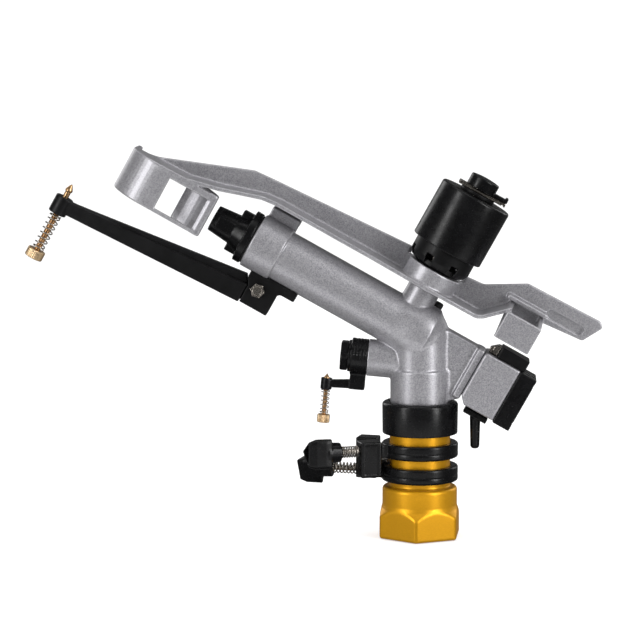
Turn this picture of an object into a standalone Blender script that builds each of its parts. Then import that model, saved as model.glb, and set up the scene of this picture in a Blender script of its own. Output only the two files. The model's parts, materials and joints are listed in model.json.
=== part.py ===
"""Large impact sprinkler gun with a gold threaded base, modelled at rest.

Millimetre values are multiplied by MM, so everything in the scene is in metres.
World: origin at the middle of the base's lower face, +Z up, jet towards -X.
Barrel frame: the world turned by BARREL_TILT about Y, at the height where the
barrel axis crosses the swivel axis. Its -X runs along the jet, and its +Z is
the swing arm's pivot axis.
"""

import math

import bmesh
import bpy
from mathutils import Matrix, Vector

MM = 0.001
GAP = 0.3  # clearance between neighbouring pieces, mm

# Driving dimensions, in millimetres and degrees
BARREL_TILT = 29.0
ELBOW_HEIGHT = 159.7
HEX_FLATS = 60.0
HEX_CORNER_TURN = -93.0
NECK_RADIUS = 23.6
TUBE_RADIUS = 18.5
WATERWAY_RADIUS = 16.0
PIPE_RADIUS = 21.7
KNEE_RADIUS = 22.4
BARREL_RADIUS = 20.4
BARREL_END = -149.0
COLLAR_RADIUS = 22.0
COLLAR_LENGTH = 24.4
PIVOT_X = -14.5
SHAFT_RADIUS = 6.0
HUB_RADIUS = 21.75
ARM_FLOOR = 33.4
HUB_TOP = 49.5
CUP_RADIUS = 28.9
CUP_BOTTOM = 67.3
CUP_TOP = 114.3
PORT_HEIGHT = 137.1
PORT_TILT = 4.8
PORT_RADIUS = 14.4
PORT_END = -40.8
RING_RADIUS = 29.8
RING_BORE = NECK_RADIUS + GAP
TRIP_AXIS_Z = -17.0
BREAKER_SCREW_X = -293.3
BREAKER_PIVOT = (-126.6, 0.0, -31.9)
SIDE_SCREW_X = -71.6
PAD_PLACE = (2.0, 13.5, 0.0)

ROUND = 24  # sides of the large turned pieces
SMALL = 14  # sides of the small turned pieces


def clear_scene():
    for item in list(bpy.data.objects):
        bpy.data.objects.remove(item, do_unlink=True)


def material(name, colour, roughness, metallic):
    made = bpy.data.materials.new(name)
    made.use_nodes = True
    shader = made.node_tree.nodes["Principled BSDF"]
    shader.inputs["Base Color"].default_value = (*colour, 1.0)
    shader.inputs["Roughness"].default_value = roughness
    shader.inputs["Metallic"].default_value = metallic
    made.diffuse_color = (*colour, 1.0)
    return made


def frame(name, place=(0, 0, 0), tilt=0.0, parent=None):
    """An empty at a place in millimetres, turned by tilt degrees about Y."""
    empty = bpy.data.objects.new(name, None)
    empty.location = Vector(place) * MM
    empty.rotation_euler = (0, math.radians(tilt), 0)
    empty.parent = parent
    bpy.context.collection.objects.link(empty)
    return empty


def add(name, mesh_maker, finish, parent=None, place=(0, 0, 0), turn=(0, 0, 0)):
    """An object from a bmesh in millimetres. Without a finish it is a helper for a Boolean."""
    bmesh.ops.recalc_face_normals(mesh_maker, faces=mesh_maker.faces)
    if mesh_maker.calc_volume(signed=True) < 0:
        bmesh.ops.reverse_faces(mesh_maker, faces=mesh_maker.faces)
    bmesh.ops.scale(mesh_maker, vec=(MM, MM, MM), verts=mesh_maker.verts)
    mesh = bpy.data.meshes.new(name)
    mesh_maker.to_mesh(mesh)
    mesh_maker.free()
    made = bpy.data.objects.new(name, mesh)
    made.parent = parent
    made.location = Vector(place) * MM
    made.rotation_euler = [math.radians(angle) for angle in turn]
    bpy.context.collection.objects.link(made)
    if finish is None:
        made.hide_render = True
        made.display_type = "WIRE"
    else:
        mesh.materials.append(finish)
        mesh.shade_smooth()
        mesh.set_sharp_from_angle(angle=math.radians(35))
    return made


def combine(target, operation, helpers, solver="EXACT"):
    for helper in helpers:
        step = target.modifiers.new(helper.name, "BOOLEAN")
        step.operation = operation
        step.solver = solver
        step.object = helper
    return target


def unite(target, *helpers, solver="EXACT"):
    return combine(target, "UNION", helpers, solver)


def cut(target, *helpers, solver="EXACT"):
    return combine(target, "DIFFERENCE", helpers, solver)


def oriented(maker, axis):
    """Turns a shape made around Z so that its axis runs along X or Y instead."""
    turns = {"X": (90, "Y"), "Y": (-90, "X")}
    if axis in turns:
        angle, about = turns[axis]
        turn = Matrix.Rotation(math.radians(angle), 3, about)
        bmesh.ops.rotate(maker, matrix=turn, verts=maker.verts)
    return maker


def turned(profile, sides=ROUND, axis="Z", closed=True):
    """A body of revolution. The profile holds (radius, height) pairs, a loop or a line between poles."""
    maker = bmesh.new()
    points = [maker.verts.new((radius, 0, height)) for radius, height in profile]
    pairs = list(zip(points, points[1:]))
    if closed:
        pairs.append((points[-1], points[0]))
    edges = [maker.edges.new(pair) for pair in pairs]
    bmesh.ops.spin(
        maker,
        geom=points + edges,
        axis=(0, 0, 1),
        cent=(0, 0, 0),
        steps=sides,
        angle=math.tau,
        use_merge=True,
    )
    bmesh.ops.remove_doubles(maker, verts=maker.verts, dist=1e-4)
    return oriented(maker, axis)


def ring(inner, outer, low, high, sides=ROUND, axis="Z"):
    return turned([(inner, low), (outer, low), (outer, high), (inner, high)], sides, axis)


def rod(radius, low, high, sides=ROUND, axis="Z", top_radius=None):
    top = radius if top_radius is None else top_radius
    return turned([(0, low), (radius, low), (top, high), (0, high)], sides, axis, closed=False)


def box(low, high):
    maker = bmesh.new()
    bmesh.ops.create_cube(maker, size=1)
    size = [b - a for a, b in zip(low, high)]
    middle = [(a + b) / 2 for a, b in zip(low, high)]
    bmesh.ops.scale(maker, vec=size, verts=maker.verts)
    bmesh.ops.translate(maker, vec=middle, verts=maker.verts)
    return maker


PLANES = {
    "XY": lambda u, v, w: (u, v, w),
    "XZ": lambda u, v, w: (u, w, v),
    "YZ": lambda u, v, w: (w, u, v),
}


def prism(outline, low, high, plane="XY"):
    """A flat outline extruded square to its plane, from low to high."""
    place = PLANES[plane]
    maker = bmesh.new()
    points = [maker.verts.new(place(u, v, low)) for u, v in outline]
    face = maker.faces.new(points)
    grown = bmesh.ops.extrude_face_region(maker, geom=[face])["geom"]
    moved = [item for item in grown if isinstance(item, bmesh.types.BMVert)]
    shift = Vector(place(0, 0, high)) - Vector(place(0, 0, low))
    bmesh.ops.translate(maker, vec=shift, verts=moved)
    return maker


def wedge(first, second):
    """A closed body between two loops of the same number of points."""
    maker = bmesh.new()
    loops = []
    for loop in (first, second):
        points = [maker.verts.new(point) for point in loop]
        maker.faces.new(points)
        loops.append(points)
    count = len(first)
    for i in range(count):
        j = (i + 1) % count
        maker.faces.new((loops[0][i], loops[0][j], loops[1][j], loops[1][i]))
    return maker


def arc(centre, radius, start, end, steps):
    """Points on a circle in a plane, from start to end degrees."""
    angles = [math.radians(start + (end - start) * i / steps) for i in range(steps + 1)]
    return [(centre[0] + radius * math.cos(a), centre[1] + radius * math.sin(a)) for a in angles]


def band(path, thickness):
    """The outline of a strip of even thickness whose one face follows the path, on the path's left."""
    inner = []
    for i, point in enumerate(path):
        before = Vector(path[max(i - 1, 0)])
        after = Vector(path[min(i + 1, len(path) - 1)])
        along = (after - before).normalized()
        inner.append((point[0] - along.y * thickness, point[1] + along.x * thickness))
    return list(path) + inner[::-1]


def hexagon(across_flats, turn=0.0):
    return arc((0, 0), across_flats / math.sqrt(3), turn, turn + 300, 5)


def dome(radius, reach, step):
    """Points of a half circle about the axis, from its low pole to its high pole."""
    around = [(radius * math.cos(math.radians(a)), radius * math.sin(math.radians(a)))
              for a in range(-reach, reach + 1, step)]
    return [(0, -radius), *around, (0, radius)]


def coil(name, finish, parent, place, radius, wire, length, turns, axis="Z", per_turn=8):
    """A coil spring as a bevelled curve, starting at place and running along an axis."""
    curve = bpy.data.curves.new(name, "CURVE")
    curve.dimensions = "3D"
    curve.bevel_depth = wire / 2 * MM
    curve.bevel_resolution = 0
    curve.use_fill_caps = True
    count = round(turns * per_turn)
    line = curve.splines.new("POLY")
    line.points.add(count)
    for i, point in enumerate(line.points):
        angle = math.tau * i / per_turn
        u, v, w = radius * math.cos(angle), radius * math.sin(angle), length * i / count
        place_of = {"Z": (u, v, w), "X": (w, u, v)}[axis]
        point.co = (*(Vector(place_of) * MM), 1)
    made = bpy.data.objects.new(name, curve)
    made.parent = parent
    made.location = Vector(place) * MM
    bpy.context.collection.objects.link(made)
    curve.materials.append(finish)
    return made


def hex_base_mesh():
    """The inlet body: hexagon, round shoulder, neck and the stepped bore, as one ring of rings."""
    apothem = HEX_FLATS / 2
    hex_top = 23.1
    chamfer_slope = 1.335
    socket, bore, shelf, neck_top = 22.4, 20.6, 34.0, 88.0

    def flat_radius(turn):
        return apothem / math.cos(math.radians((turn % 60) - 30))

    def hexed(inset, height):
        return lambda turn: (flat_radius(turn) - inset, height)

    def chamfered(turn):
        return flat_radius(turn), hex_top - (flat_radius(turn) - apothem) * chamfer_slope

    def level(radius, height):
        return lambda turn: (radius, height)

    sections = [
        level(socket, 1.6),
        level(socket + 1.4, 0),
        hexed(1.2, 0),
        hexed(0, 1.4),
        chamfered,
        level(29.2, hex_top + 1.1),
        level(29.2, 36.6),
        level(28.3, 38.9),
        level(26.0, 39.9),
        level(NECK_RADIUS, 40.4),
        level(NECK_RADIUS, neck_top),
        level(bore, neck_top),
        level(bore, shelf),
        level(socket, shelf),
    ]
    maker = bmesh.new()
    loops = []
    for section in sections:
        loop = []
        for i in range(ROUND):
            turn = 360 * i / ROUND
            radius, height = section(turn)
            around = math.radians(turn + HEX_CORNER_TURN)
            point = (radius * math.cos(around), radius * math.sin(around), height)
            loop.append(maker.verts.new(point))
        loops.append(loop)
    for first, second in zip(loops, loops[1:] + loops[:1]):
        for i in range(ROUND):
            j = (i + 1) % ROUND
            maker.faces.new((first[i], first[j], second[j], second[i]))
    return maker


def build_base(finish):
    add("inlet_base", hex_base_mesh(), finish["gold"])
    sleeve = [(18.8, 40), (20.3, 40), (20.3, 88.3), (23.3, 88.3), (23.3, 90.2), (18.8, 90.2)]
    add("bearing_sleeve", turned(sleeve), finish["nylon"])


def build_swivel(finish):
    """What turns with the head around the neck, below the casting."""
    add("swivel_tube", ring(WATERWAY_RADIUS, TUBE_RADIUS, 26.5, 126), finish["brass"])
    add("swivel_lock_nut", ring(18.8, 22.0, 27.2, 31.4), finish["brass"])
    add("swivel_seal", ring(18.8, 22.0, 31.8, 33.7), finish["rubber"])
    add("thrust_washer", ring(18.8, 23.3, 90.6, 92), finish["steel"])
    coil("brake_spring", finish["steel"], None, (0, 0, 93.4), 21.2, 2.0, 7.0, 2.5)
    cover = [
        (18.8, 101.8), (26.6, 101.8), (26.6, 81.7), (29.3, 81.7), (29.6, 104.4), (29.0, 106.2),
        (27.6, 107.1), (24.9, 107.1), (24.4, 106.6), (24.4, 104.8), (18.8, 104.8),
    ]
    add("dust_cover", turned(cover), finish["black"])


def build_casting(finish, barrel, port):
    """Elbow, barrel, side port, pivot post, stop lug and reverser web, cast in one."""
    stub_low, stub_high, stub_radius = 105.1, 132.1, 23.3
    stub = ring(WATERWAY_RADIUS - 1, stub_radius, stub_low, stub_high)
    casting = add("head_casting", stub, finish["silver"])
    pipe = add("casting_pipe", rod(PIPE_RADIUS, 125, ELBOW_HEIGHT), None)
    elbow = add("casting_elbow", turned(dome(KNEE_RADIUS, 75, 25), closed=False), None, barrel)
    tube = [
        (0, BARREL_END), (COLLAR_RADIUS - 1, BARREL_END), (COLLAR_RADIUS, BARREL_END + 1),
        (COLLAR_RADIUS, BARREL_END + COLLAR_LENGTH), (BARREL_RADIUS, BARREL_END + COLLAR_LENGTH + 1.2),
        (BARREL_RADIUS, 3), (0, 3),
    ]
    muzzle = add("casting_barrel", turned(tube, axis="X", closed=False), None, barrel)
    side = add("casting_port", rod(PORT_RADIUS, PORT_END, -8, axis="X"), None, port)
    post = add("casting_post", rod(13.0, 8, 32.6, 24), None, barrel, (PIVOT_X, 0, 0))
    web_outline = [(0, 6), (18.3, 13.8), (50.2, 13.8), (50.2, -29), (46, -33.2), (30, -42), (8, -20)]
    web = add("casting_web", prism(web_outline, -9, 9, "XZ"), None, barrel)
    flange = add("casting_flange", box((44.5, -14, -28.6), (50.2, 14, 13.8)), None, barrel)
    lug_low = add("casting_lug", box((-147.6, 3, 6), (-123.6, 26, 29.6)), None, barrel)
    lug_high = add("casting_stop", box((-147.6, 19, 24), (-123.6, 26, 43)), None, barrel)
    rail = add("casting_rail", box((-124.6, -5, -20.2), (-99.6, 5, -14)), None, barrel)
    # EXACT leaves open edges where the barrel meets the knee, so this casting uses MANIFOLD.
    solids = [pipe, elbow, muzzle, side, post, web, flange, lug_low, lug_high, rail]
    unite(casting, *solids, solver="MANIFOLD")
    bores = [
        add("bore_stub", rod(TUBE_RADIUS + GAP, 100, 126.3), None),
        add("bore_pipe", rod(WATERWAY_RADIUS, 120, ELBOW_HEIGHT - 2), None),
        add("bore_elbow", turned(dome(WATERWAY_RADIUS, 72, 24), closed=False), None, barrel),
        add("bore_barrel", rod(WATERWAY_RADIUS - 0.1, BARREL_END - 2, 2, axis="X"), None, barrel),
        add("bore_port", rod(9, PORT_END - 2, -5, 24, axis="X"), None, port),
        add("bore_shaft", rod(SHAFT_RADIUS + GAP, 18.4, 40, 24), None, barrel, (PIVOT_X, 0, 0)),
        add("bore_trip_shaft", rod(3.3, 46, 60, SMALL, axis="X"), None, barrel, (0, 0, TRIP_AXIS_Z)),
        add("bore_pad", rod(3.9, 13.6, 30, SMALL), None, barrel, PAD_PLACE),
    ]
    cut(casting, *bores, solver="MANIFOLD")
    add("arm_pad", rod(3.6, 14, 27, SMALL), finish["rubber"], barrel, PAD_PLACE)


def build_nozzle(finish, barrel):
    outer = [
        (8.4, -184), (10.4, -184), (12.1, -166), (15.2, -157), (15.2, -156.4), (21.4, -156.4),
        (21.4, -150.3), (15.5, -150.3), (15.5, -138), (14.2, -138), (9.2, -176),
    ]
    nozzle = add("main_nozzle", turned(outer, axis="X"), finish["black"], barrel)
    lugs = []
    for i, side in enumerate((1, -1)):
        heights = sorted((side * 11, side * 17.3))
        lug = box((-165.6, -5, heights[0]), (-155, 5, heights[1]))
        lugs.append(add(f"nozzle_lug_{i}", lug, None, barrel))
    unite(nozzle, *lugs)
    bore = [(0, -186), (8.4, -186), (9.2, -176), (14.2, -138), (14.2, -136), (0, -136)]
    notch = add("nozzle_notch", box((-153.5, -4, 19.4), (-149, 4, 24)), None, barrel)
    cut(nozzle, add("nozzle_bore", turned(bore, axis="X", closed=False), None, barrel), notch)
    add("nozzle_seal", ring(16.2, 20.4, -149.9, BARREL_END - GAP, axis="X"), finish["rubber"], barrel)
    vanes = add("flow_straightener", ring(14.2, 15.5, -110, -70, axis="X"), finish["nylon"], barrel)
    unite(
        vanes,
        add("vane_flat", box((-109.5, -15, -0.7), (-70.5, 15, 0.7)), None, barrel),
        add("vane_upright", box((-109, -0.7, -15), (-71, 0.7, 15)), None, barrel),
    )


def build_side_nozzle(finish, port):
    """Black collar with its needle arm, and the small hexagon nozzle, on the side port."""
    collar_low = -54.0
    sleeve = ring(9.4, 14.4, collar_low, PORT_END - GAP, 24, axis="X")
    collar = add("side_nozzle_collar", sleeve, finish["black"], port)
    lug = add("side_lug", box((-53.6, -6, -25.6), (-41.6, 6, -12)), None, port)
    arm = add(
        "side_arm",
        wedge(
            [(-52, -3.4, -25.4), (-52, 3.4, -25.4), (-52, 3.4, -18.4), (-52, -3.4, -18.4)],
            [(-70, -3, -26.2), (-70, 3, -26.2), (-70, 3, -20.6), (-70, -3, -20.6)],
        ),
        None,
        port,
    )
    boss = add("side_boss", rod(4.4, -28.1, -19, SMALL), None, port, (SIDE_SCREW_X, 0, 0))
    unite(collar, lug, arm, boss)
    cut(
        collar,
        add("side_collar_bore", rod(9.4, -60, -38, 24, axis="X"), None, port),
        add("side_boss_bore", rod(2.3, -32, -15, 12), None, port, (SIDE_SCREW_X, 0, 0)),
    )
    six_sides = oriented(prism(hexagon(22, 30), -62.2, collar_low - GAP), "X")
    nozzle = add("side_nozzle", six_sides, finish["black"], port)
    unite(nozzle, add("side_spigot", rod(8.7, -54.8, -44, 24, axis="X"), None, port))
    taper = rod(4.0, -64, -40, 24, axis="X", top_radius=7.2)
    cut(nozzle, add("side_nozzle_bore", taper, None, port))
    screw = frame("side_screw_axis", (SIDE_SCREW_X, 0, 0), parent=port)
    needle_screw("side", finish, screw, -15.3, 3.6, 1.9, 5.0, -54.3, -48.0)
    coil("side_spring", finish["steel"], screw, (0, 0, -47.0), 3.2, 0.8, 18.2, 5.75)


def needle_screw(prefix, finish, axis, tip, cone, core, knob_radius, knob_low, knob_high):
    """A pointed adjusting screw along the axis frame's Z, with a knurled knob below."""
    shank = [
        (0, tip), (core + 0.45, tip - cone), (core, tip - cone - 1.2), (core, knob_high + GAP),
        (0, knob_high + GAP),
    ]
    add(f"{prefix}_needle", turned(shank, 12, closed=False), finish["bronze"], axis)
    edge = 0.7
    knob = [
        (0, knob_low), (knob_radius - edge, knob_low), (knob_radius, knob_low + edge),
        (knob_radius, knob_high - edge), (knob_radius - edge, knob_high), (0, knob_high),
    ]
    add(f"{prefix}_knob", turned(knob, 24, closed=False), finish["brass"], axis)


def build_breaker(finish, barrel):
    bracket_outline = [
        (-138.5, -16), (-100, -16), (-97.9, -20.6), (-97.9, -26.6), (-109.6, -26.6), (-111.6, -28.6),
        (-111.6, -46.4), (-135.2, -46.4), (-135.2, -31.9), (-138.5, -25.4),
    ]
    bracket = add("breaker_bracket", prism(bracket_outline, -9, 9, "XZ"), finish["black"], barrel)
    pivot_x, _, pivot_z = BREAKER_PIVOT
    cut(
        bracket,
        add("bracket_saddle", rod(COLLAR_RADIUS + GAP, -152, -123.0, axis="X"), None, barrel),
        add("bracket_saddle_far", rod(BARREL_RADIUS + GAP, -126, -90, axis="X"), None, barrel),
        add("bracket_rail_slot", box((-126, -5.3, -20.5), (-90, 5.3, -10)), None, barrel),
        add("bracket_fork", box((-141, -4.8, -50), (-114, 4.8, -23.6)), None, barrel),
        add("bracket_hole", rod(3.3, -12, 12, SMALL, axis="Y"), None, barrel, BREAKER_PIVOT),
    )
    bolt = add("breaker_bolt", rod(3.0, -9.3, 14.6, SMALL, axis="Y"), finish["steel"], barrel, BREAKER_PIVOT)
    head = prism(hexagon(10), -13.2, -9.3, "XY")
    unite(bolt, add("bolt_head", oriented(head, "Y"), None, barrel, BREAKER_PIVOT))
    nut = oriented(prism(hexagon(10), 9.3, 13.6, "XY"), "Y")
    nut = add("breaker_nut", nut, finish["steel"], barrel, BREAKER_PIVOT)
    cut(nut, add("nut_hole", rod(3.3, 5, 18, SMALL, axis="Y"), None, barrel, BREAKER_PIVOT))

    near, far = -136.1, -289.0
    body = wedge(
        [(near, -9, -47.3), (near, 9, -47.3), (near, 9, -31.9), (near, -9, -31.9)],
        [(far, -5.5, -54.8), (far, 5.5, -54.8), (far, 5.5, -44.4), (far, -5.5, -44.4)],
    )
    arm = add("breaker_arm", body, finish["black"], barrel)
    upper_side = [(-140.2, -25.4), (near - 0.7, -31), (near - 0.7, -40), (-280, -50), (-280, -43.6)]
    upper = prism(upper_side, -5.4, 5.4, "XZ")
    tongue = [(-138, -45.5), (-119.5, -42.5), *arc((pivot_x, pivot_z), 7.6, -20, 95, 5), (-138, -27.6)]
    unite(
        arm,
        add("arm_upper", upper, None, barrel),
        add("arm_tongue", prism(tongue, -4.4, 4.4, "XZ"), None, barrel),
        add("arm_boss", rod(7.2, -57.6, -43, SMALL), None, barrel, (BREAKER_SCREW_X, 0, 0)),
    )
    cut(
        arm,
        add("arm_pivot_hole", rod(3.3, -12, 12, SMALL, axis="Y"), None, barrel, BREAKER_PIVOT),
        add("arm_screw_hole", rod(3.2, -62, -38, SMALL), None, barrel, (BREAKER_SCREW_X, 0, 0)),
    )
    screw = frame("breaker_screw_axis", (BREAKER_SCREW_X, 0, 0), parent=barrel)
    needle_screw("breaker", finish, screw, -31.5, 6.5, 2.6, 7.25, -97.2, -90.0)
    coil("breaker_spring", finish["steel"], screw, (0, 0, -88.6), 4.5, 1.1, 29.6, 7.25)


def build_arm(finish, barrel):
    """The swinging hammer arm. Its web stands on the far side, its flange reaches to the near side."""
    pivot = frame("swing_pivot", (PIVOT_X, 0, 0), parent=barrel)
    back = (-PIVOT_X, 0, 0)
    web_near, web_far = 12.0, 16.2
    web_top = [
        (-262.5, 14.8), (-255.5, 14.8), (-174.5, 46.3), (-157.8, 47.6), (-38.6, 55.0), (9.8, 54.9),
        (25, 56.2), (54.6, 73.6), (118.5, 75.2), (122, 71.6), (113, 55.2),
    ]
    web_low = [
        (80.3, 52.3), (78.4, 52.2), (78.4, 45), (48.9, 45), (45, 47.5), (40, 45), (33, ARM_FLOOR),
        (-146, ARM_FLOOR), (-158, 32.4), (-190, 22.0), (-214, 17.4), (-255.5, 12.4), (-262.5, 11.6),
    ]
    arm = add("swing_arm", prism(web_top + web_low, web_near, web_far, "XZ"), finish["silver"], pivot, back)
    floor_line = [
        (-262.5, 14.3), (-216, 15.6), (-190, 21.9), (-158, 32.0), (-146, ARM_FLOOR), (31, ARM_FLOOR),
        (36, 36), (50.5, 50.5),
    ]
    floor_side = band(floor_line, 3.0)
    floor_plan = [
        (-262.6, 14), (-262.6, 2), (-256, -10), (-247, -16.5), (-237, -19.2), (-189, -19.2), (-175, -17),
        (-60, -19), (-30, -22.9), (5, -22.9), (40, -20), (52, -20), (52, 14),
    ]
    plate = add("arm_floor", prism(floor_side, -24, 15, "XZ"), None, pivot, back)
    trim = add("arm_floor_plan", prism(floor_plan, 5, 60), None, pivot, back)
    combine(plate, "INTERSECT", [trim])
    hub = add("arm_hub", rod(HUB_RADIUS, ARM_FLOOR, HUB_TOP), None, pivot)

    near_y = -19.0
    bend_radius = 27.4
    bend = arc((-237.8, near_y + bend_radius), bend_radius, 270, 180, 7)
    tail_end = (-265.2, 31.6)
    scoop = [(-189, near_y), (-192, near_y)] + bend + [tail_end]
    scoop_outline = band(scoop, -4.0)
    spoon = add("arm_spoon", prism(scoop_outline, -17.0, 17.5), None, pivot, back)
    window = add("spoon_window", box((-227.4, -24, -13.5), (-194, -13, 12.2)), None, pivot, back)
    cut(spoon, window)
    vane_line = [(-189, -18.6), (-193.5, -18.4)] + arc((-213.5, -22), 24.0, 17, 88, 4)
    vane = add("arm_vane", prism(band(vane_line, -3.6), -17.0, 18.5), None, pivot, back)

    plate_near, plate_back = -25.0, -21.5
    striker_plate = box((48.9, plate_near, 28.8), (78.4, plate_back, 51))
    striker = add("arm_striker", striker_plate, None, pivot, back)
    gusset = [(-22, 29.2), (-22, 50.8), (13, 57), (13, 46)]
    left = add("arm_gusset_left", prism(gusset, 48.9, 52.3, "YZ"), None, pivot, back)
    right = add("arm_gusset_right", prism(gusset, 75, 78.4, "YZ"), None, pivot, back)
    unite(arm, plate, hub, spoon, vane, striker, left, right, solver="MANIFOLD")
    slot_ends = arc((106.5, 61.2), 3.4, -90, 90, 5) + arc((82, 61.2), 3.4, 90, 270, 5)
    cut(
        arm,
        add("arm_bush_room", rod(27.5, HUB_TOP, 80), None, pivot),
        add("arm_hub_bore", rod(8.6, 25, 60, 24), None, pivot),
        add("arm_tail_slot", prism(slot_ends, web_near - 3, web_near + 2.4, "XZ"), None, pivot, back),
        solver="MANIFOLD",
    )
    sleeve = ring(SHAFT_RADIUS + GAP, 8.3, ARM_FLOOR, HUB_TOP, 24)
    add("hub_bushing", sleeve, finish["bronze"], pivot)

    spool = [
        (8.6, 49.9), (17.5, 49.9), (22.6, 52.4), (24.8, 56.5), (24.8, 80), (22.4, 80), (22.4, 55),
        (8.6, 55),
    ]
    bush = add("spring_bush", turned(spool), finish["black"], pivot)
    notches = []
    for i in range(7):
        notch = box((20, -3.3, 48), (27, 3.3, 59.8))
        notches.append(add(f"bush_notch_{i}", notch, None, pivot, turn=(0, 0, 360 / 7 * i - 60.8)))
    cut(bush, *notches)
    coil("torsion_spring", finish["steel"], pivot, (0, 0, 58), 17.5, 3.0, 48, 6)
    return pivot


def build_pivot(finish, barrel, pivot):
    """The shaft fixed in the post, and the adjustable spring cup with its cap and clip."""
    shaft = [(0, 18.8), (SHAFT_RADIUS, 18.8), (SHAFT_RADIUS, 126.6), (5.2, 127.4), (0, 127.4)]
    add("pivot_shaft", turned(shaft, 24, closed=False), finish["steel"], barrel, (PIVOT_X, 0, 0))
    cup = [
        (6.3, 111), (26.2, 111), (26.2, CUP_BOTTOM), (CUP_RADIUS, CUP_BOTTOM), (CUP_RADIUS, 110.6),
        (28.0, 113.2), (25.6, CUP_TOP), (6.3, CUP_TOP),
    ]
    add("spring_cup", turned(cup), finish["black"], pivot)
    collar = [(6.3, 114.6), (14.2, 114.6), (14.2, 117.1), (6.3, 117.1)]
    add("cup_collar", turned(collar, 24), finish["black"], pivot)
    leg, gape = 2.6, 7.0
    clip = [
        (-17.6, -gape - leg), (22.6, -gape - leg), (22.6, -gape), (-15, -gape), (-15, gape),
        (22.6, gape), (22.6, gape + leg), (-17.6, gape + leg),
    ]
    add("locking_clip", prism(clip, 117.4, 119.8), finish["steel"], pivot)
    cap = [
        (0, 127.9), (6.3, 127.9), (6.3, 120.1), (11.9, 120.1), (11.6, 128.4), (10.6, 129.6),
        (0, 130.2),
    ]
    cap_body = add("cup_cap", turned(cap, 24, closed=False), finish["black"], pivot)
    unite(cap_body, add("cap_lug", box((9, -5.5, 120.1), (22.8, 5.5, 122.8)), None, pivot))


def build_reverser(finish, barrel):
    outline = [(50.5, 14), (81, 14), (81, -30), (55.5, -30), (50.5, -24.5)]
    housing = add("reverser_housing", prism(outline, -18, 18, "XZ"), finish["silver"], barrel)
    screw_places = [(0, y, z) for y in (-13.8, 13.8) for z in (-24.5, 8.5)]
    shaft_place = (0, 0, TRIP_AXIS_Z)
    screw_holes = [
        add(f"housing_tap_{i}", rod(2.1, 70, 90, 12, axis="X"), None, barrel, place)
        for i, place in enumerate(screw_places)
    ]
    cut(
        housing,
        add("housing_cavity", box((54, -11, -27), (90, 11, 11)), None, barrel),
        add("housing_floor_slot", box((57, -11, -40), (90, 11, -20)), None, barrel),
        add("housing_roof_slot", box((62.4, -6.6, 5), (75.6, 6.6, 20)), None, barrel),
        add("housing_shaft_hole", rod(3.3, 48, 58, SMALL, axis="X"), None, barrel, shaft_place),
        *screw_holes,
    )
    cover = add("reverser_cover", box((81.3, -18, -31), (95.6, 18, 13.8)), finish["black"], barrel)
    cover_holes = [add("cover_shaft_hole", rod(3.3, 78, 88.4, SMALL, axis="X"), None, barrel, shaft_place)]
    screw_side = [(0, 74), (1.8, 74), (1.8, 93.1), (3.3, 93.1), (3.3, 95.4), (0, 95.4)]
    for i, place in enumerate(screw_places):
        cover_holes.append(add(f"cover_hole_{i}", rod(2.1, 78, 94, 12, axis="X"), None, barrel, place))
        cover_holes.append(add(f"cover_sink_{i}", rod(3.6, 92.8, 98, 12, axis="X"), None, barrel, place))
        screw = turned(screw_side, 12, axis="X", closed=False)
        add(f"cover_screw_{i + 1}", screw, finish["steel"], barrel, place)
    cut(cover, *cover_holes)
    add("trip_shaft", rod(3.0, 47, 88, SMALL, axis="X"), finish["steel"], barrel, shaft_place)
    spring_place = (54.9, 0, TRIP_AXIS_Z)
    coil("toggle_spring", finish["steel"], barrel, spring_place, 4.4, 1.1, 2.0, 1.6, axis="X")

    trip = frame("trip_axis", shaft_place, parent=barrel)
    lever = add("trip_lever", ring(3.3, 6, 58, 78.6, SMALL, axis="X"), finish["black"], trip)
    bar = prism([(58.2, -3.8), (60.2, -20), (77.8, -20), (78.4, -3.8)], -2.4, 2.4, "XZ")
    foot = box((58.6, -4.4, -20), (78.4, 4.4, -15.6))
    finger = box((62, -9, 1.5), (76, 0, 6.2))
    pin_side = [(0, -28.2), (1.9, -27.7), (3.1, -26.5), (3.5, -25.2), (4.0, -1), (0, -1)]
    pin = turned(pin_side, SMALL, closed=False)
    unite(
        lever,
        add("trip_bar", bar, None, trip),
        add("trip_foot", foot, None, trip),
        add("trip_finger", finger, None, trip),
        add("trip_pin", pin, None, trip, (67.5, 0, -16.4), (0, -BARREL_TILT, 0)),
    )
    cut(lever, add("trip_bore", rod(3.3, 50, 90, SMALL, axis="X"), None, trip))

    block = add("striker_block", box((60.2, -15, 14.4), (84, 9, 23.6)), finish["black"], barrel)
    unite(block, add("striker_stem", box((63, -6, -8), (75, 6, 15)), None, barrel))
    wedge_side = [(52.6, 14.4), (59.9, 14.4), (59.9, 23.0), (57.5, 22.4), (52.6, 18.2)]
    add("striker_wedge", prism(wedge_side, -8, 4, "XZ"), finish["steel"], barrel)


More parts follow.
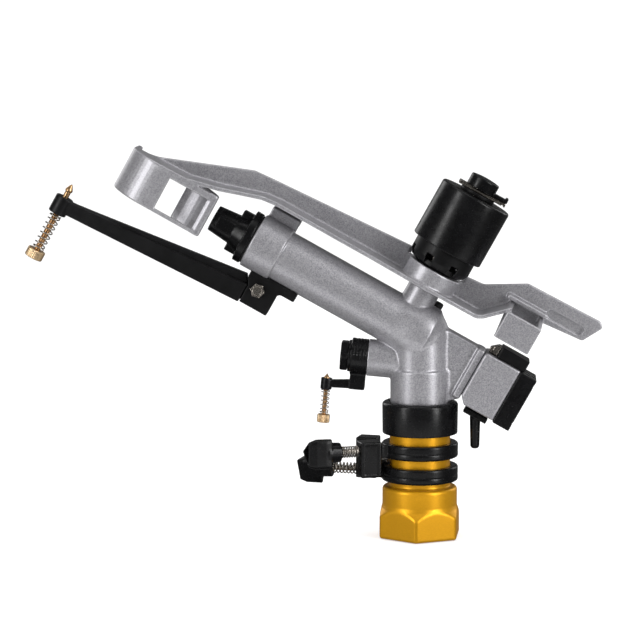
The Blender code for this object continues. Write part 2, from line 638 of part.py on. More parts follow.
def build_stop_ring(name, finish, low, high, turn, block_low, block_high, nut_top, lobe_turn, knob_low):
    """A ring on the neck, its tall stop block, and the sprung wing screw that locks it."""
    middle = (low + high) / 2
    axis = frame(f"{name}_axis")
    along = {"parent": axis, "turn": (0, 0, turn)}
    at_screw = {"place": (0, 0, middle), **along}
    body = add(name, ring(RING_BORE, RING_RADIUS, low, high), finish["black"], **along)
    block = box((33.5, -7.8, block_low), (50.0, 7.8, block_high))
    bridge = box((27, -7.0, low + 0.8), (35, 7.0, high - 0.8))
    unite(body, add(f"{name}_block", block, None, **along), add(f"{name}_bridge", bridge, None, **along))
    cut(
        body,
        add(f"{name}_bore", rod(RING_BORE, low - 5, high + 5), None, **along),
        add(f"{name}_screw_hole", rod(2.9, 15, 60, 12, axis="X"), None, **at_screw),
        add(f"{name}_nut_pocket", box((30.2, -5.0, -5.4), (34.4, 5.0, nut_top + 0.8)), None, **at_screw),
    )
    nut = add(f"{name}_nut", box((30.6, -4.6, -4.6), (34.0, 4.6, nut_top)), finish["steel"], **at_screw)
    cut(nut, add(f"{name}_nut_hole", rod(2.9, 20, 60, 12, axis="X"), None, **at_screw))
    add(f"{name}_screw", rod(2.5, 27.6, knob_low - 0.4, 12, axis="X"), finish["steel"], **at_screw)
    hub = [(0, knob_low), (7.6, knob_low), (8.2, knob_low + 1.9), (8.2, knob_low + 8.9), (0, knob_low + 8.9)]
    knob = add(f"{name}_knob", turned(hub, SMALL, axis="X", closed=False), finish["black"], **at_screw)
    lobes = []
    for direction in (-60, 60, 180):
        lobe = math.radians(direction)
        corner = (10.2 * math.cos(lobe), 10.2 * math.sin(lobe))
        lobes += arc(corner, 3.0, direction - 60, direction + 60, 3)
    cross = {"place": (0, 0, middle), "parent": axis, "turn": (lobe_turn, 0, turn)}
    unite(knob, add(f"{name}_lobes", prism(lobes, knob_low + 8.4, knob_low + 26.9, "YZ"), None, **cross))
    cut(knob, add(f"{name}_dish", rod(5.4, knob_low + 21.9, knob_low + 28.4, 12, axis="X"), None, **at_screw))
    spring_low = 51.1
    length = knob_low - 1.1 - spring_low
    spring = coil(f"{name}_spring", finish["steel"], axis, (0, 0, 0), 4.1, 1.1, length, 7, axis="X")
    around = math.radians(turn)
    spring.location = Vector((spring_low * math.cos(around), spring_low * math.sin(around), middle)) * MM
    spring.rotation_euler = (0, 0, around)


def build_sprinkler():
    clear_scene()
    finish = {
        "gold": material("gold_anodised", (0.60, 0.32, 0.03), 0.42, 1.0),
        "silver": material("silver_paint", (0.36, 0.36, 0.38), 0.45, 0.6),
        "black": material("black_plastic", (0.012, 0.012, 0.013), 0.38, 0.0),
        "steel": material("bright_steel", (0.55, 0.53, 0.50), 0.3, 1.0),
        "brass": material("brass", (0.75, 0.52, 0.24), 0.35, 1.0),
        "bronze": material("bronze", (0.55, 0.33, 0.14), 0.4, 1.0),
        "rubber": material("rubber", (0.02, 0.02, 0.02), 0.8, 0.0),
        "nylon": material("white_nylon", (0.75, 0.74, 0.7), 0.5, 0.0),
    }
    barrel = frame("barrel_frame", (0, 0, ELBOW_HEIGHT), BARREL_TILT)
    port = frame("port_frame", (0, 0, PORT_HEIGHT), PORT_TILT)
    build_base(finish)
    build_swivel(finish)
    build_casting(finish, barrel, port)
    build_nozzle(finish, barrel)
    build_side_nozzle(finish, port)
    build_breaker(finish, barrel)
    pivot = build_arm(finish, barrel)
    build_pivot(finish, barrel, pivot)
    build_reverser(finish, barrel)
    build_stop_ring("upper_ring", finish, 63.3, 74.7, 200, 48.9, 76.8, 4.6, 0, 65.1)
    build_stop_ring("lower_ring", finish, 44.6, 56.6, 168, 44.6, 76.8, 9.4, -30, 70.6)


build_sprinkler()
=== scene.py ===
"""Finished look of the large impact sprinkler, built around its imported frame.

Every shape is worked out in millimetres in one of a few local frames, which come from
the record's joints, and is then placed in the frame's metres. Cast and moulded pieces
are the zero surface of a distance function, turned pieces are revolved outlines.
"""

import json
import math

import bmesh
import bpy
import numpy as np
from mathutils import Matrix, Vector


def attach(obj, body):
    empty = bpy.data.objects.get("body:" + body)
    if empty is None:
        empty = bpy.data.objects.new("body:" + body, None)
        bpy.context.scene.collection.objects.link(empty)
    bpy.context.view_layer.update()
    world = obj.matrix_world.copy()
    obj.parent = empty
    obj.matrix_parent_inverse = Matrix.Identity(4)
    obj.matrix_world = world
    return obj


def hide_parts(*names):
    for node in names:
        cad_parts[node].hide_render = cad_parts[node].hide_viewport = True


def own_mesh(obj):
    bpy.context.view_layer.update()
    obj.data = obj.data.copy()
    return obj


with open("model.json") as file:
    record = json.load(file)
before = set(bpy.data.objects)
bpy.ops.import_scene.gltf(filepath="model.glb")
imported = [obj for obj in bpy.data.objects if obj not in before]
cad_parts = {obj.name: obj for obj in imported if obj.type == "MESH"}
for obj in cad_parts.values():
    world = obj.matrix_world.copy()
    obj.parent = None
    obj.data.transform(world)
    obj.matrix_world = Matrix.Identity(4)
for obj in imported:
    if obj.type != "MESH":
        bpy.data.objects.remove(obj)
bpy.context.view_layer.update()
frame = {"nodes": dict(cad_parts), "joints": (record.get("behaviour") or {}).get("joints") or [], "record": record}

MM = 0.001
ROUND = 96  # sides of the large turned pieces
SMALL = 40  # sides of the small turned pieces
WATERWAY = 16.0  # radius of the swivel tube's and the casting's bore, in millimetres
TUBE_HOLE = 18.8  # radius of a hole round the swivel tube
SHAFT_HOLE = 6.3  # radius of a hole round the arm's shaft
PIN_HOLE = 3.3  # radius of a hole round the trip shaft or the breaker's bolt
JOINTS = {joint["name"]: joint for joint in frame["joints"]}


# ---------------------------------------------------------------- local frames


def joint_point(name):
    return Vector(JOINTS[name]["pos_m"]) / MM


def joint_axis(name):
    return Vector(JOINTS[name]["axis"]).normalized()


def axes(origin, x_axis, z_axis):
    """The matrix from a local frame to the world, both in millimetres."""
    y_axis = z_axis.cross(x_axis).normalized()
    turned_x = y_axis.cross(z_axis).normalized()
    made = Matrix((turned_x, y_axis, z_axis)).transposed().to_4x4()
    made.translation = origin
    return made


def across(z_axis):
    """The local X axis of a frame that leans in the XZ plane."""
    return Vector((0, 1, 0)).cross(z_axis)


def at(place, x=0.0, y=0.0, z=0.0):
    return place @ Matrix.Translation((x, y, z))


def span(node, place):
    """A CAD node's lowest and highest corners in a local frame, in millimetres."""
    back = place.inverted()
    points = np.array([back @ (vertex.co / MM) for vertex in frame["nodes"][node].data.vertices])
    return points.min(axis=0), points.max(axis=0)


WORLD = Matrix.Identity(4)
arm_axis = joint_axis("arm_swing")
along_barrel = across(arm_axis)
pivot_point = joint_point("arm_swing")
BARREL = axes(pivot_point - along_barrel * (pivot_point.x / along_barrel.x), along_barrel, arm_axis)
PIVOT_X = (BARREL.inverted() @ pivot_point).x
PIVOT = at(BARREL, PIVOT_X)
port_axis = joint_axis("side_screw_turn")
port_lean = axes(Vector((0, 0, 0)), across(port_axis), port_axis)
nozzle_low, nozzle_high = span("side_nozzle", port_lean)
port_height = (nozzle_low[2] + nozzle_high[2]) / 2 / port_axis.z
PORT = axes(Vector((0, 0, port_height)), across(port_axis), port_axis)
BREAKER_SCREW = at(BARREL, (BARREL.inverted() @ joint_point("breaker_screw_turn")).x)
SIDE_SCREW = at(PORT, (PORT.inverted() @ joint_point("side_screw_turn")).x)
BREAKER_PIVOT = BARREL.inverted() @ joint_point("breaker_tilt")
TRIP_Z = (BARREL.inverted() @ joint_point("trip_turn")).z
TRIP = at(BARREL, 0, 0, TRIP_Z)
RINGS = {}
for ring_name in ("upper", "lower"):
    height = Vector((0, 0, joint_point(f"{ring_name}_screw_turn").z))
    RINGS[ring_name] = axes(height, joint_axis(f"{ring_name}_screw_turn"), Vector((0, 0, 1)))


# ---------------------------------------------------------------- materials


class Shader:
    """A Principled material with a few node helpers. Its textures use object coordinates in metres."""

    def __init__(self, name, colour, roughness, metallic):
        self.material = bpy.data.materials.new(name)
        self.material.use_nodes = True
        self.nodes = self.material.node_tree.nodes
        self.links = self.material.node_tree.links
        self.principled = self.nodes["Principled BSDF"]
        self.set("Base Color", (*colour, 1.0))
        self.set("Roughness", roughness)
        self.set("Metallic", metallic)
        self.coordinates = self.nodes.new("ShaderNodeTexCoord").outputs["Object"]

    def set(self, socket, value):
        self.principled.inputs[socket].default_value = value

    def feed(self, socket, output):
        self.links.new(output, self.principled.inputs[socket])

    def noise(self, scale, detail=3.0, stretch=(1, 1, 1)):
        """Noise from 0 to 1. Its grain is about 1 / scale metres."""
        mapping = self.nodes.new("ShaderNodeMapping")
        mapping.inputs["Scale"].default_value = stretch
        self.links.new(self.coordinates, mapping.inputs["Vector"])
        texture = self.nodes.new("ShaderNodeTexNoise")
        texture.inputs["Scale"].default_value = scale
        texture.inputs["Detail"].default_value = detail
        self.links.new(mapping.outputs["Vector"], texture.inputs["Vector"])
        return texture.outputs["Fac"]

    def flakes(self, scale):
        """A random grey for each small cell, as in metallic paint."""
        texture = self.nodes.new("ShaderNodeTexVoronoi")
        texture.inputs["Scale"].default_value = scale
        self.links.new(self.coordinates, texture.inputs["Vector"])
        grey = self.nodes.new("ShaderNodeRGBToBW")
        self.links.new(texture.outputs["Color"], grey.inputs["Color"])
        return grey.outputs["Val"]

    def ranged(self, output, low, high, start=0.3, end=0.7):
        """The output from start to end, turned into values from low to high."""
        node = self.nodes.new("ShaderNodeMapRange")
        for socket, value in (("From Min", start), ("From Max", end), ("To Min", low), ("To Max", high)):
            node.inputs[socket].default_value = value
        self.links.new(output, node.inputs["Value"])
        return node.outputs["Result"]

    def mix(self, factor, first, second):
        """A colour between two, each a colour or an output."""
        node = self.nodes.new("ShaderNodeMix")
        node.data_type = "RGBA"
        self.links.new(factor, node.inputs["Factor"])
        for socket, value in (("A", first), ("B", second)):
            target = [s for s in node.inputs if s.name == socket and s.type == "RGBA"][0]
            if isinstance(value, tuple):
                target.default_value = (*value, 1.0)
            else:
                self.links.new(value, target)
        return [s for s in node.outputs if s.type == "RGBA"][0]

    # the finishes lighten their colour by this mask: a painted highlight along outer edges
    def edges(self, start=0.52, end=0.6):
        """From 0 on flats to 1 on outer edges."""
        pointiness = self.nodes.new("ShaderNodeNewGeometry").outputs["Pointiness"]
        return self.ranged(pointiness, 0.0, 1.0, start, end)

    def bump(self, output, distance, strength=1.0):
        node = self.nodes.new("ShaderNodeBump")
        node.inputs["Distance"].default_value = distance
        node.inputs["Strength"].default_value = strength
        self.links.new(output, node.inputs["Height"])
        linked = self.principled.inputs["Normal"].links
        if linked:
            self.links.new(linked[0].from_socket, node.inputs["Normal"])
        self.feed("Normal", node.outputs["Normal"])


def silver_paint():
    made = Shader("silver_paint", (0.34, 0.335, 0.355), 0.38, 0.68)
    sparkle = made.flakes(1500)
    tone = made.mix(made.ranged(sparkle, 0, 1, 0.1, 0.9), (0.22, 0.215, 0.235), (0.43, 0.425, 0.445))
    tone = made.mix(made.ranged(made.noise(30, 2), 0, 0.35), tone, (0.35, 0.345, 0.36))
    # painted highlight: the colour turns a lighter grey along outer edges, where light would catch
    made.feed("Base Color", made.mix(made.ranged(made.edges(), 0, 0.5, 0, 1), tone, (0.62, 0.62, 0.63)))
    made.feed("Roughness", made.ranged(sparkle, 0.3, 0.48, 0, 1))
    made.bump(made.noise(1300, 2), 0.00004, 0.6)
    made.bump(made.noise(160, 2), 0.00005, 0.35)
    return made.material


def gold_anodised():
    made = Shader("gold_anodised", (0.62, 0.3, 0.008), 0.4, 0.7)
    grain = made.noise(1800, 2)
    tone = made.mix(made.ranged(grain, 0, 1), (0.6, 0.285, 0.004), (0.74, 0.365, 0.01))
    tone = made.mix(made.ranged(made.noise(40, 2), 0, 0.3), tone, (0.55, 0.25, 0.004))
    # painted highlight: the colour turns a lighter, paler gold along outer edges
    made.feed("Base Color", made.mix(made.ranged(made.edges(), 0, 0.45, 0, 1), tone, (0.9, 0.58, 0.14)))
    made.feed("Roughness", made.ranged(made.noise(500, 3), 0.34, 0.46))
    made.bump(grain, 0.00003, 0.5)
    made.bump(made.noise(30, 2, (1, 1, 60)), 0.00004, 0.3)
    return made.material


def black_plastic(name, roughness, grain):
    made = Shader(name, (0.003, 0.003, 0.0033), roughness, 0.0)
    cloud = made.ranged(made.noise(60, 3), 0, 1)
    tone = made.mix(cloud, (0.0014, 0.0014, 0.0016), (0.003, 0.003, 0.0034))
    # painted highlight: the colour turns a lighter grey along outer edges
    made.feed("Base Color", made.mix(made.ranged(made.edges(), 0, 0.6, 0, 1), tone, (0.014, 0.014, 0.015)))
    made.feed("Roughness", made.ranged(made.noise(220, 3), roughness - 0.05, roughness + 0.07))
    made.bump(made.noise(2200, 2), grain, 0.4)
    made.bump(made.noise(90, 2), 0.00002, 0.2)
    made.set("Specular IOR Level", 0.24)
    return made.material


def drawn_metal(name, colour, roughness, stretch):
    """Bare metal with fine draw or turning marks along one direction."""
    made = Shader(name, colour, roughness, 1.0)
    darker = tuple(value * 0.72 for value in colour)
    lighter = tuple(min(1.0, value * 1.18) for value in colour)
    made.feed("Base Color", made.mix(made.ranged(made.noise(350, 3, stretch), 0, 1), darker, lighter))
    made.feed("Roughness", made.ranged(made.noise(700, 2, stretch), roughness - 0.07, roughness + 0.09))
    made.bump(made.noise(900, 2, stretch), 0.00002, 0.5)
    return made.material


def soft_solid(name, colour, roughness):
    made = Shader(name, colour, roughness, 0.0)
    darker = tuple(value * 0.8 for value in colour)
    made.feed("Base Color", made.mix(made.ranged(made.noise(150, 3), 0, 1), darker, colour))
    made.feed("Roughness", made.ranged(made.noise(400, 2), roughness - 0.06, roughness + 0.08))
    made.bump(made.noise(1500, 2), 0.00003, 0.5)
    return made.material


FINISHES = {
    "gold": gold_anodised(),
    "silver": silver_paint(),
    "black": black_plastic("black_plastic_matte", 0.42, 0.00006),
    "black_gloss": black_plastic("black_plastic_satin", 0.27, 0.00002),
    "steel": drawn_metal("bright_steel", (0.44, 0.405, 0.36), 0.24, (1, 1, 3)),
    "brass": drawn_metal("turned_brass", (0.72, 0.5, 0.24), 0.3, (1, 1, 8)),
    "brass_knob": drawn_metal("knurled_brass", (0.83, 0.6, 0.36), 0.34, (1, 1, 4)),
    "bronze": drawn_metal("bronze", (0.6, 0.37, 0.19), 0.3, (1, 1, 8)),
    "rubber": soft_solid("black_rubber", (0.02, 0.02, 0.02), 0.72),
    "nylon": soft_solid("white_nylon", (0.72, 0.71, 0.67), 0.5),
}


# ---------------------------------------------------------------- making pieces


def show(name, mesh, place, finish, body, nodes=(), sharp=38):
    """A finished object from a mesh in local millimetres, riding on a body in place of CAD nodes."""
    mesh.transform(Matrix.Scale(MM, 4) @ place)
    mesh.materials.append(FINISHES[finish])
    mesh.shade_smooth()
    if sharp:
        mesh.set_sharp_from_angle(angle=math.radians(sharp))
    made = bpy.data.objects.new(name, mesh)
    bpy.context.scene.collection.objects.link(made)
    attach(made, body)
    if nodes:
        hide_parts(*([nodes] if isinstance(nodes, str) else nodes))
    return made


def from_bmesh(name, maker):
    mesh = bpy.data.meshes.new(name)
    maker.normal_update()
    maker.to_mesh(mesh)
    maker.free()
    return mesh


def soften(points, radius, steps=4, closed=True):
    """A flat outline with each corner replaced by an arc. A point may carry its own radius."""
    made = []
    count = len(points)
    most = 0.46  # share of a side that one arc may take
    for i, point in enumerate(points):
        here = Vector(point[:2])
        bend = point[2] if len(point) > 2 else radius
        if not closed and i in (0, count - 1) or bend <= 0:
            made.append(tuple(here))
            continue
        before = Vector(points[i - 1][:2]) - here
        after = Vector(points[(i + 1) % count][:2]) - here
        half = before.angle(after) / 2
        if half > math.radians(88):
            made.append(tuple(here))
            continue
        reach = min(bend / math.tan(half), most * before.length, most * after.length)
        bend = reach * math.tan(half)
        bisector = (before.normalized() + after.normalized()).normalized()
        centre = here + bisector * (bend / math.sin(half))
        first = here + before.normalized() * reach - centre
        last = here + after.normalized() * reach - centre
        turn = first.angle_signed(last)
        for k in range(steps + 1):
            spoke = first.copy()
            spoke.rotate(Matrix.Rotation(-turn * k / steps, 2))
            made.append(tuple(centre + spoke))
    return made


def revolved(profile, sides, merge, closed=False):
    """A profile of (radius, height) pairs turned round Z. Points closer than merge become one."""
    maker = bmesh.new()
    points = [maker.verts.new((radius, 0, level)) for radius, level in profile]
    pairs = list(zip(points, points[1:]))
    if closed:
        pairs.append((points[-1], points[0]))
    lines = [maker.edges.new(pair) for pair in pairs]
    bmesh.ops.spin(maker, geom=points + lines, axis=(0, 0, 1), steps=sides, angle=math.tau, use_merge=True)
    bmesh.ops.remove_doubles(maker, verts=maker.verts, dist=merge)
    return maker


def lathe(name, profile, place, finish, body, nodes=(), edge=0.6, sides=ROUND, closed=True, axis="Z"):
    """A turned piece along the local Z or X axis. Open profiles run between two poles."""
    maker = revolved(soften(profile, edge, closed=closed), sides, 1e-4, closed)
    face_outwards(maker)
    if axis == "X":
        maker.transform(Matrix.Rotation(math.radians(90), 4, "Y"))
    show(name, from_bmesh(name, maker), place, finish, body, nodes)


def face_outwards(maker):
    bmesh.ops.recalc_face_normals(maker, faces=maker.faces)
    if maker.calc_volume(signed=True) < 0:
        bmesh.ops.reverse_faces(maker, faces=maker.faces)


def grid_mesh(name, rows, caps=True):
    """A tube of quads through rings of points, each ring with the same count."""
    maker = bmesh.new()
    loops = [[maker.verts.new(point) for point in row] for row in rows]
    count = len(loops[0])
    for first, second in zip(loops, loops[1:]):
        for i in range(count):
            j = (i + 1) % count
            maker.faces.new((first[i], first[j], second[j], second[i]))
    if caps:
        maker.faces.new(loops[0][::-1])
        maker.faces.new(loops[-1])
    face_outwards(maker)
    return from_bmesh(name, maker)


def wire(points, radius, sides=10):
    """Rings of points round a line, for grid_mesh."""
    line = np.array(points, float)
    tangents = np.gradient(line, axis=0)
    tangents /= np.linalg.norm(tangents, axis=1)[:, None]
    side = np.cross(tangents[0], (0.37, 0.61, 0.7))
    rows = []
    for point, tangent in zip(line, tangents):
        side = side - tangent * np.dot(side, tangent)
        side /= np.linalg.norm(side)
        up = np.cross(tangent, side)
        turns = np.arange(sides) * math.tau / sides
        rows.append([tuple(point + radius * (math.cos(a) * side + math.sin(a) * up)) for a in turns])
    return rows


def spring(name, place, radius, thickness, low, high, turns, body, node, closed_turns=0.8, axis="Z"):
    """A coil spring with closed ends, along the local Z or X axis."""
    per_turn, closed_lift = 28, 0.35
    count = int(turns * per_turn)
    closed = closed_turns * per_turn
    lift = np.array([closed_lift if min(i, count - i) < closed else 1.0 for i in range(count)])
    heights = np.concatenate([[0], np.cumsum(lift)])
    heights = low + thickness / 2 + heights / heights[-1] * (high - low - thickness)
    line = []
    for i, level in enumerate(heights):
        angle = math.tau * i / per_turn
        u, v = radius * math.cos(angle), radius * math.sin(angle)
        line.append((u, v, level) if axis == "Z" else (level, u, v))
    mesh = grid_mesh(name, wire(line, thickness / 2))
    return show(name, mesh, place, "steel", body, node, sharp=0)


def threaded(name, place, radius, low, high, pitch, finish, body, nodes=(), axis="Z", tip=1.0):
    """A threaded rod: a round bar with a helical groove."""
    depth, around, per_pitch = 0.61 * pitch * 0.8, 32, 8
    levels = np.arange(low, high + 1e-6, pitch / per_pitch)
    rows = []
    for level in levels:
        row = []
        for i in range(around):
            phase = (level / pitch - i / around) % 1.0
            groove = depth * abs(2 * phase - 1)
            taper = min(1.0, 0.35 + 0.65 * min(level - low, high - level) / tip)
            angle = math.tau * i / around
            reach = (radius - groove) * taper
            u, v = reach * math.cos(angle), reach * math.sin(angle)
            row.append((u, v, level) if axis == "Z" else (level, u, v))
        rows.append(row)
    show(name, grid_mesh(name, rows), place, finish, body, nodes, sharp=50)


def knurled(name, place, radius, low, high, finish, body, nodes, teeth=30):
    """A round knob with straight knurling and a slightly dished outer face."""
    edge, depth = 0.45, 0.3
    sections = [
        (0.02, low + 0.6, 0), (radius * 0.5, low + 0.6, 0), (radius * 0.58, low, 0),
        (radius - edge, low, 0),
        (radius - 0.1, low + 0.3, 0.3), (radius, low + 0.55, 1), (radius, high - 0.55, 1),
        (radius - 0.1, high - 0.3, 0.3), (radius - edge, high, 0), (0.02, high, 0),
    ]
    rows = []
    count = teeth * 6
    for reach, level, share in sections:
        row = []
        for i in range(count):
            groove = depth * share * (0.5 + 0.5 * math.cos(math.tau * i * teeth / count)) ** 2
            angle = math.tau * i / count
            row.append(((reach - groove) * math.cos(angle), (reach - groove) * math.sin(angle), level))
        rows.append(row)
    show(name, grid_mesh(name, rows), place, finish, body, nodes, sharp=50)


# ---------------------------------------------------------------- distance functions
# Each takes points as an (n, 3) array in millimetres and gives distances, negative inside.


def moved(points, matrix):
    table = np.array(matrix)
    return points @ table[:3, :3].T.astype(points.dtype) + table[:3, 3].astype(points.dtype)


def corner(first, second, edge=0.0):
    """Where both shapes are, with its outer edge rounded."""
    if edge == 0:
        return np.maximum(first, second)
    outer = np.hypot(np.maximum(first + edge, 0), np.maximum(second + edge, 0))
    return np.minimum(-edge, np.maximum(first, second)) + outer


def join(first, second, radius=0.0):
    """Either shape, with a fillet of that radius where they meet."""
    if radius == 0:
        return np.minimum(first, second)
    inner = np.hypot(np.maximum(radius - first, 0), np.maximum(radius - second, 0))
    return np.maximum(radius, np.minimum(first, second)) - inner


def carve(first, second, edge=0.0):
    return corner(first, -second, edge)


def cylinder(points, radius, low, high, axis=2, centre=(0, 0, 0), edge=0.0, top_radius=None):
    others = [i for i in range(3) if i != axis]
    reach = np.hypot(points[:, others[0]] - centre[others[0]], points[:, others[1]] - centre[others[1]])
    along = points[:, axis] - centre[axis]
    if top_radius is None:
        side = reach - radius
    else:
        side = reach - (radius + (top_radius - radius) * np.clip((along - low) / (high - low), 0, 1))
    return corner(side, np.maximum(low - along, along - high), edge)


def block(points, low, high, edge=0.0):
    middle = (np.array(low) + np.array(high)) / 2
    half = (np.array(high) - np.array(low)) / 2
    over = np.abs(points - middle.astype(points.dtype)) - (half - edge).astype(points.dtype)
    outside = np.linalg.norm(np.maximum(over, 0), axis=1)
    return outside + np.minimum(over.max(axis=1), 0) - edge


def to_segment(u, v, first, last):
    du, dv = last[0] - first[0], last[1] - first[1]
    share = np.clip(((u - first[0]) * du + (v - first[1]) * dv) / (du * du + dv * dv), 0, 1)
    return np.hypot(u - first[0] - share * du, v - first[1] - share * dv)


def outline(u, v, points):
    """Signed distance to a flat closed outline."""
    nearest = np.full(u.shape, 1e6, u.dtype)
    inside = np.zeros(u.shape, bool)
    for first, last in zip(points, points[1:] + points[:1]):
        nearest = np.minimum(nearest, to_segment(u, v, first, last))
        crosses = (first[1] > v) != (last[1] > v)
        rise = last[1] - first[1]
        if rise:
            inside ^= crosses & (u < (last[0] - first[0]) * (v - first[1]) / rise + first[0])
    return np.where(inside, -nearest, nearest)


def strip(u, v, line, half):
    """Distance to a strip of even thickness along a line."""
    nearest = np.full(u.shape, 1e6, u.dtype)
    for first, last in zip(line, line[1:]):
        nearest = np.minimum(nearest, to_segment(u, v, first, last))
    return nearest - half


def slab(value, low, high):
    return np.maximum(low - value, value - high)


def plate(points, side, low, high, edge=0.0):
    """A flat outline in X and Z that is as thick as from low to high in Y."""
    return corner(outline(points[:, 0], points[:, 2], side), slab(points[:, 1], low, high), edge)


def arc(centre, radius, start, end, steps):
    angles = [math.radians(start + (end - start) * i / steps) for i in range(steps + 1)]
    return [(centre[0] + radius * math.cos(a), centre[1] + radius * math.sin(a)) for a in angles]


BLOCK = 8  # grid points along each side of one block of the sampling grid
BATCH = 600  # blocks worked out at a time
HALF_DIAGONAL = 0.87  # from the middle of a unit cube to its corner


def sampled(distance, low, shape, step):
    """The distance on a grid. Blocks far from the surface get only their sign."""
    blocks = shape // BLOCK
    places = np.indices(blocks).reshape(3, -1).T
    centres = (low + ((places + 0.5) * BLOCK - 0.5) * step).astype(np.float32)
    coarse = distance(centres)
    reach = HALF_DIAGONAL * BLOCK * step + step
    field = np.where(coarse < 0, -reach, reach).astype(np.float32).reshape(blocks)
    for axis in range(3):
        field = np.repeat(field, BLOCK, axis=axis)
    inner = np.indices((BLOCK,) * 3).reshape(3, -1).T
    near = places[np.abs(coarse) < 1.25 * reach]
    for start in range(0, len(near), BATCH):
        index = (near[start:start + BATCH, None, :] * BLOCK + inner).reshape(-1, 3)
        values = distance((low + index * step).astype(np.float32))
        field[index[:, 0], index[:, 1], index[:, 2]] = values
    return field


def surface(name, distance, low, high, step):
    """The zero surface of a distance function as a mesh of quads, one point in each crossed cell."""
    low = np.array(low, float) - 2 * step
    shape = np.ceil((np.array(high, float) + 2 * step - low) / step / BLOCK).astype(int) * BLOCK
    field = sampled(distance, low, shape, step)
    cells, sums, quads = [], [], []
    for axis in range(3):
        ahead = [slice(None)] * 3
        behind = [slice(None)] * 3
        ahead[axis], behind[axis] = slice(1, None), slice(None, -1)
        first, second = field[tuple(behind)], field[tuple(ahead)]
        index = np.argwhere((first < 0) != (second < 0))
        start = first[tuple(index.T)]
        share = start / (start - second[tuple(index.T)])
        point = index.astype(float)
        point[:, axis] += share
        u, v = (axis + 1) % 3, (axis + 2) % 3
        around = []
        for shift_u, shift_v in ((-1, -1), (0, -1), (0, 0), (-1, 0)):
            cell = index.copy()
            cell[:, u] += shift_u
            cell[:, v] += shift_v
            around.append(np.ravel_multi_index(tuple(cell.T), shape))
            cells.append(around[-1])
            sums.append(point)
        quad = np.stack(around, axis=1)
        quad[start > 0] = quad[start > 0][:, ::-1]
        quads.append(quad)
    names, index = np.unique(np.concatenate(cells), return_inverse=True)
    totals = np.concatenate(sums)
    count = np.bincount(index)
    points = np.stack([np.bincount(index, totals[:, k]) / count for k in range(3)], axis=1)
    points = settled(distance, low + points * step, step)
    faces = np.searchsorted(names, np.concatenate(quads))
    mesh = bpy.data.meshes.new(name)
    mesh.from_pydata(points.tolist(), [], faces.tolist())
    mesh.update()
    return mesh


def settled(distance, points, step):
    """Points moved onto the surface along its slope."""
    nudge = 0.02
    for _ in range(3):
        here = distance(points)
        slope = np.empty_like(points)
        for k in range(3):
            shifted = points.copy()
            shifted[:, k] += nudge
            slope[:, k] = (distance(shifted) - here) / nudge
        steep = np.maximum((slope**2).sum(axis=1), 0.2)
        move = np.clip(here / steep, -0.6 * step, 0.6 * step)
        points = points - slope * move[:, None]
    return points


def cast(name, distance, place, finish, body, node, step, box=None):
    """A cast or moulded piece, looked for inside its CAD node's box unless another is given."""
    low, high = box or span(node, place)
    show(name, surface(name, distance, low, high, step), place, finish, body, node, sharp=0)


# ---------------------------------------------------------------- base and swivel


def build_base():
    """The gold inlet body: chamfered hexagon, round shoulder, neck and stepped bore."""
    neck_top = span("inlet_base", WORLD)[1][2]
    apothem, hex_top, hex_turn = 30.0, 23.1, math.radians(-93)
    shoulder, shoulder_top = 29.2, 39.9
    neck = 23.6
    socket, shelf, bore = 22.4, 34.0, 20.6
    chamfer = math.radians(36.8)

    def distance(p):
        reach = np.hypot(p[:, 0], p[:, 1])
        around = np.arctan2(p[:, 1], p[:, 0]) - hex_turn
        sector = np.mod(around, math.radians(60)) - math.radians(30)
        flat = reach * np.cos(sector) - apothem
        beside = reach * np.cos(math.radians(60) - np.abs(sector)) - apothem
        flat = corner(flat, beside, 1.6)
        cone = (reach - apothem) * math.sin(chamfer + 0.29) + (p[:, 2] - hex_top) * math.cos(chamfer + 0.29)
        body = corner(flat, slab(p[:, 2], 0, hex_top + 2), 1.8)
        body = corner(body, cone, 0.9)
        body = join(body, cylinder(p, shoulder, 21.5, shoulder_top, edge=2.6), 1.5)
        body = join(body, cylinder(p, neck, 14, neck_top, edge=0.6), 1.6)
        body = carve(body, cylinder(p, socket, -5, shelf), 1.0)
        return carve(body, cylinder(p, bore, shelf - 4, neck_top + 5), 0.4)

    cast("inlet_body", distance, WORLD, "gold", "base", "inlet_base", 0.7)


def plain_ring(name, inner, place, finish, body, node, edge=0.35, axis="Z"):
    """A round sleeve or washer with the CAD node's outer size."""
    low, high = span(node, place)
    line = 0 if axis == "X" else 2
    outer = high[1]
    profile = [(inner, low[line]), (outer, low[line]), (outer, high[line]), (inner, high[line])]
    lathe(name, profile, place, finish, body, node, edge, axis=axis)


def build_swivel():
    for name, inner, finish, node in (
        ("swivel_pipe", WATERWAY, "brass", "swivel_tube"),
        ("lock_nut", TUBE_HOLE, "brass", "swivel_lock_nut"),
        ("lip_seal", TUBE_HOLE, "rubber", "swivel_seal"),
        ("slip_washer", TUBE_HOLE, "steel", "thrust_washer"),
    ):
        plain_ring(name, inner, WORLD, finish, "head", node)
    low, high = span("bearing_sleeve", WORLD)
    outer, flange = 20.3, high[2] - 1.9
    sleeve = [
        (TUBE_HOLE, low[2]), (outer, low[2]), (outer, flange), (high[0], flange), (high[0], high[2]),
        (TUBE_HOLE, high[2]),
    ]
    lathe("bearing_bush", sleeve, WORLD, "nylon", "base", "bearing_sleeve", 0.3)
    low, high = span("brake_spring", WORLD)
    spring("swivel_spring", WORLD, 21.2, 2.0, low[2] + 0.2, high[2] - 0.2, 2.5, "head", "brake_spring", 0.5)
    low, high = span("dust_cover", WORLD)
    outer, skirt, roof = high[0], 26.6, 101.8
    cover = [
        (TUBE_HOLE, roof), (skirt, roof, 1.5), (skirt, low[2], 0.6), (outer - 0.3, low[2], 0.8),
        (outer, high[2] - 1.2, 2.6), (24.9, high[2], 0.9), (24.5, high[2] - 2.4, 0.4),
        (TUBE_HOLE, high[2] - 2.4),
    ]
    lathe("swivel_cover", cover, WORLD, "black_gloss", "head", "dust_cover", 0.4)


# ---------------------------------------------------------------- head casting


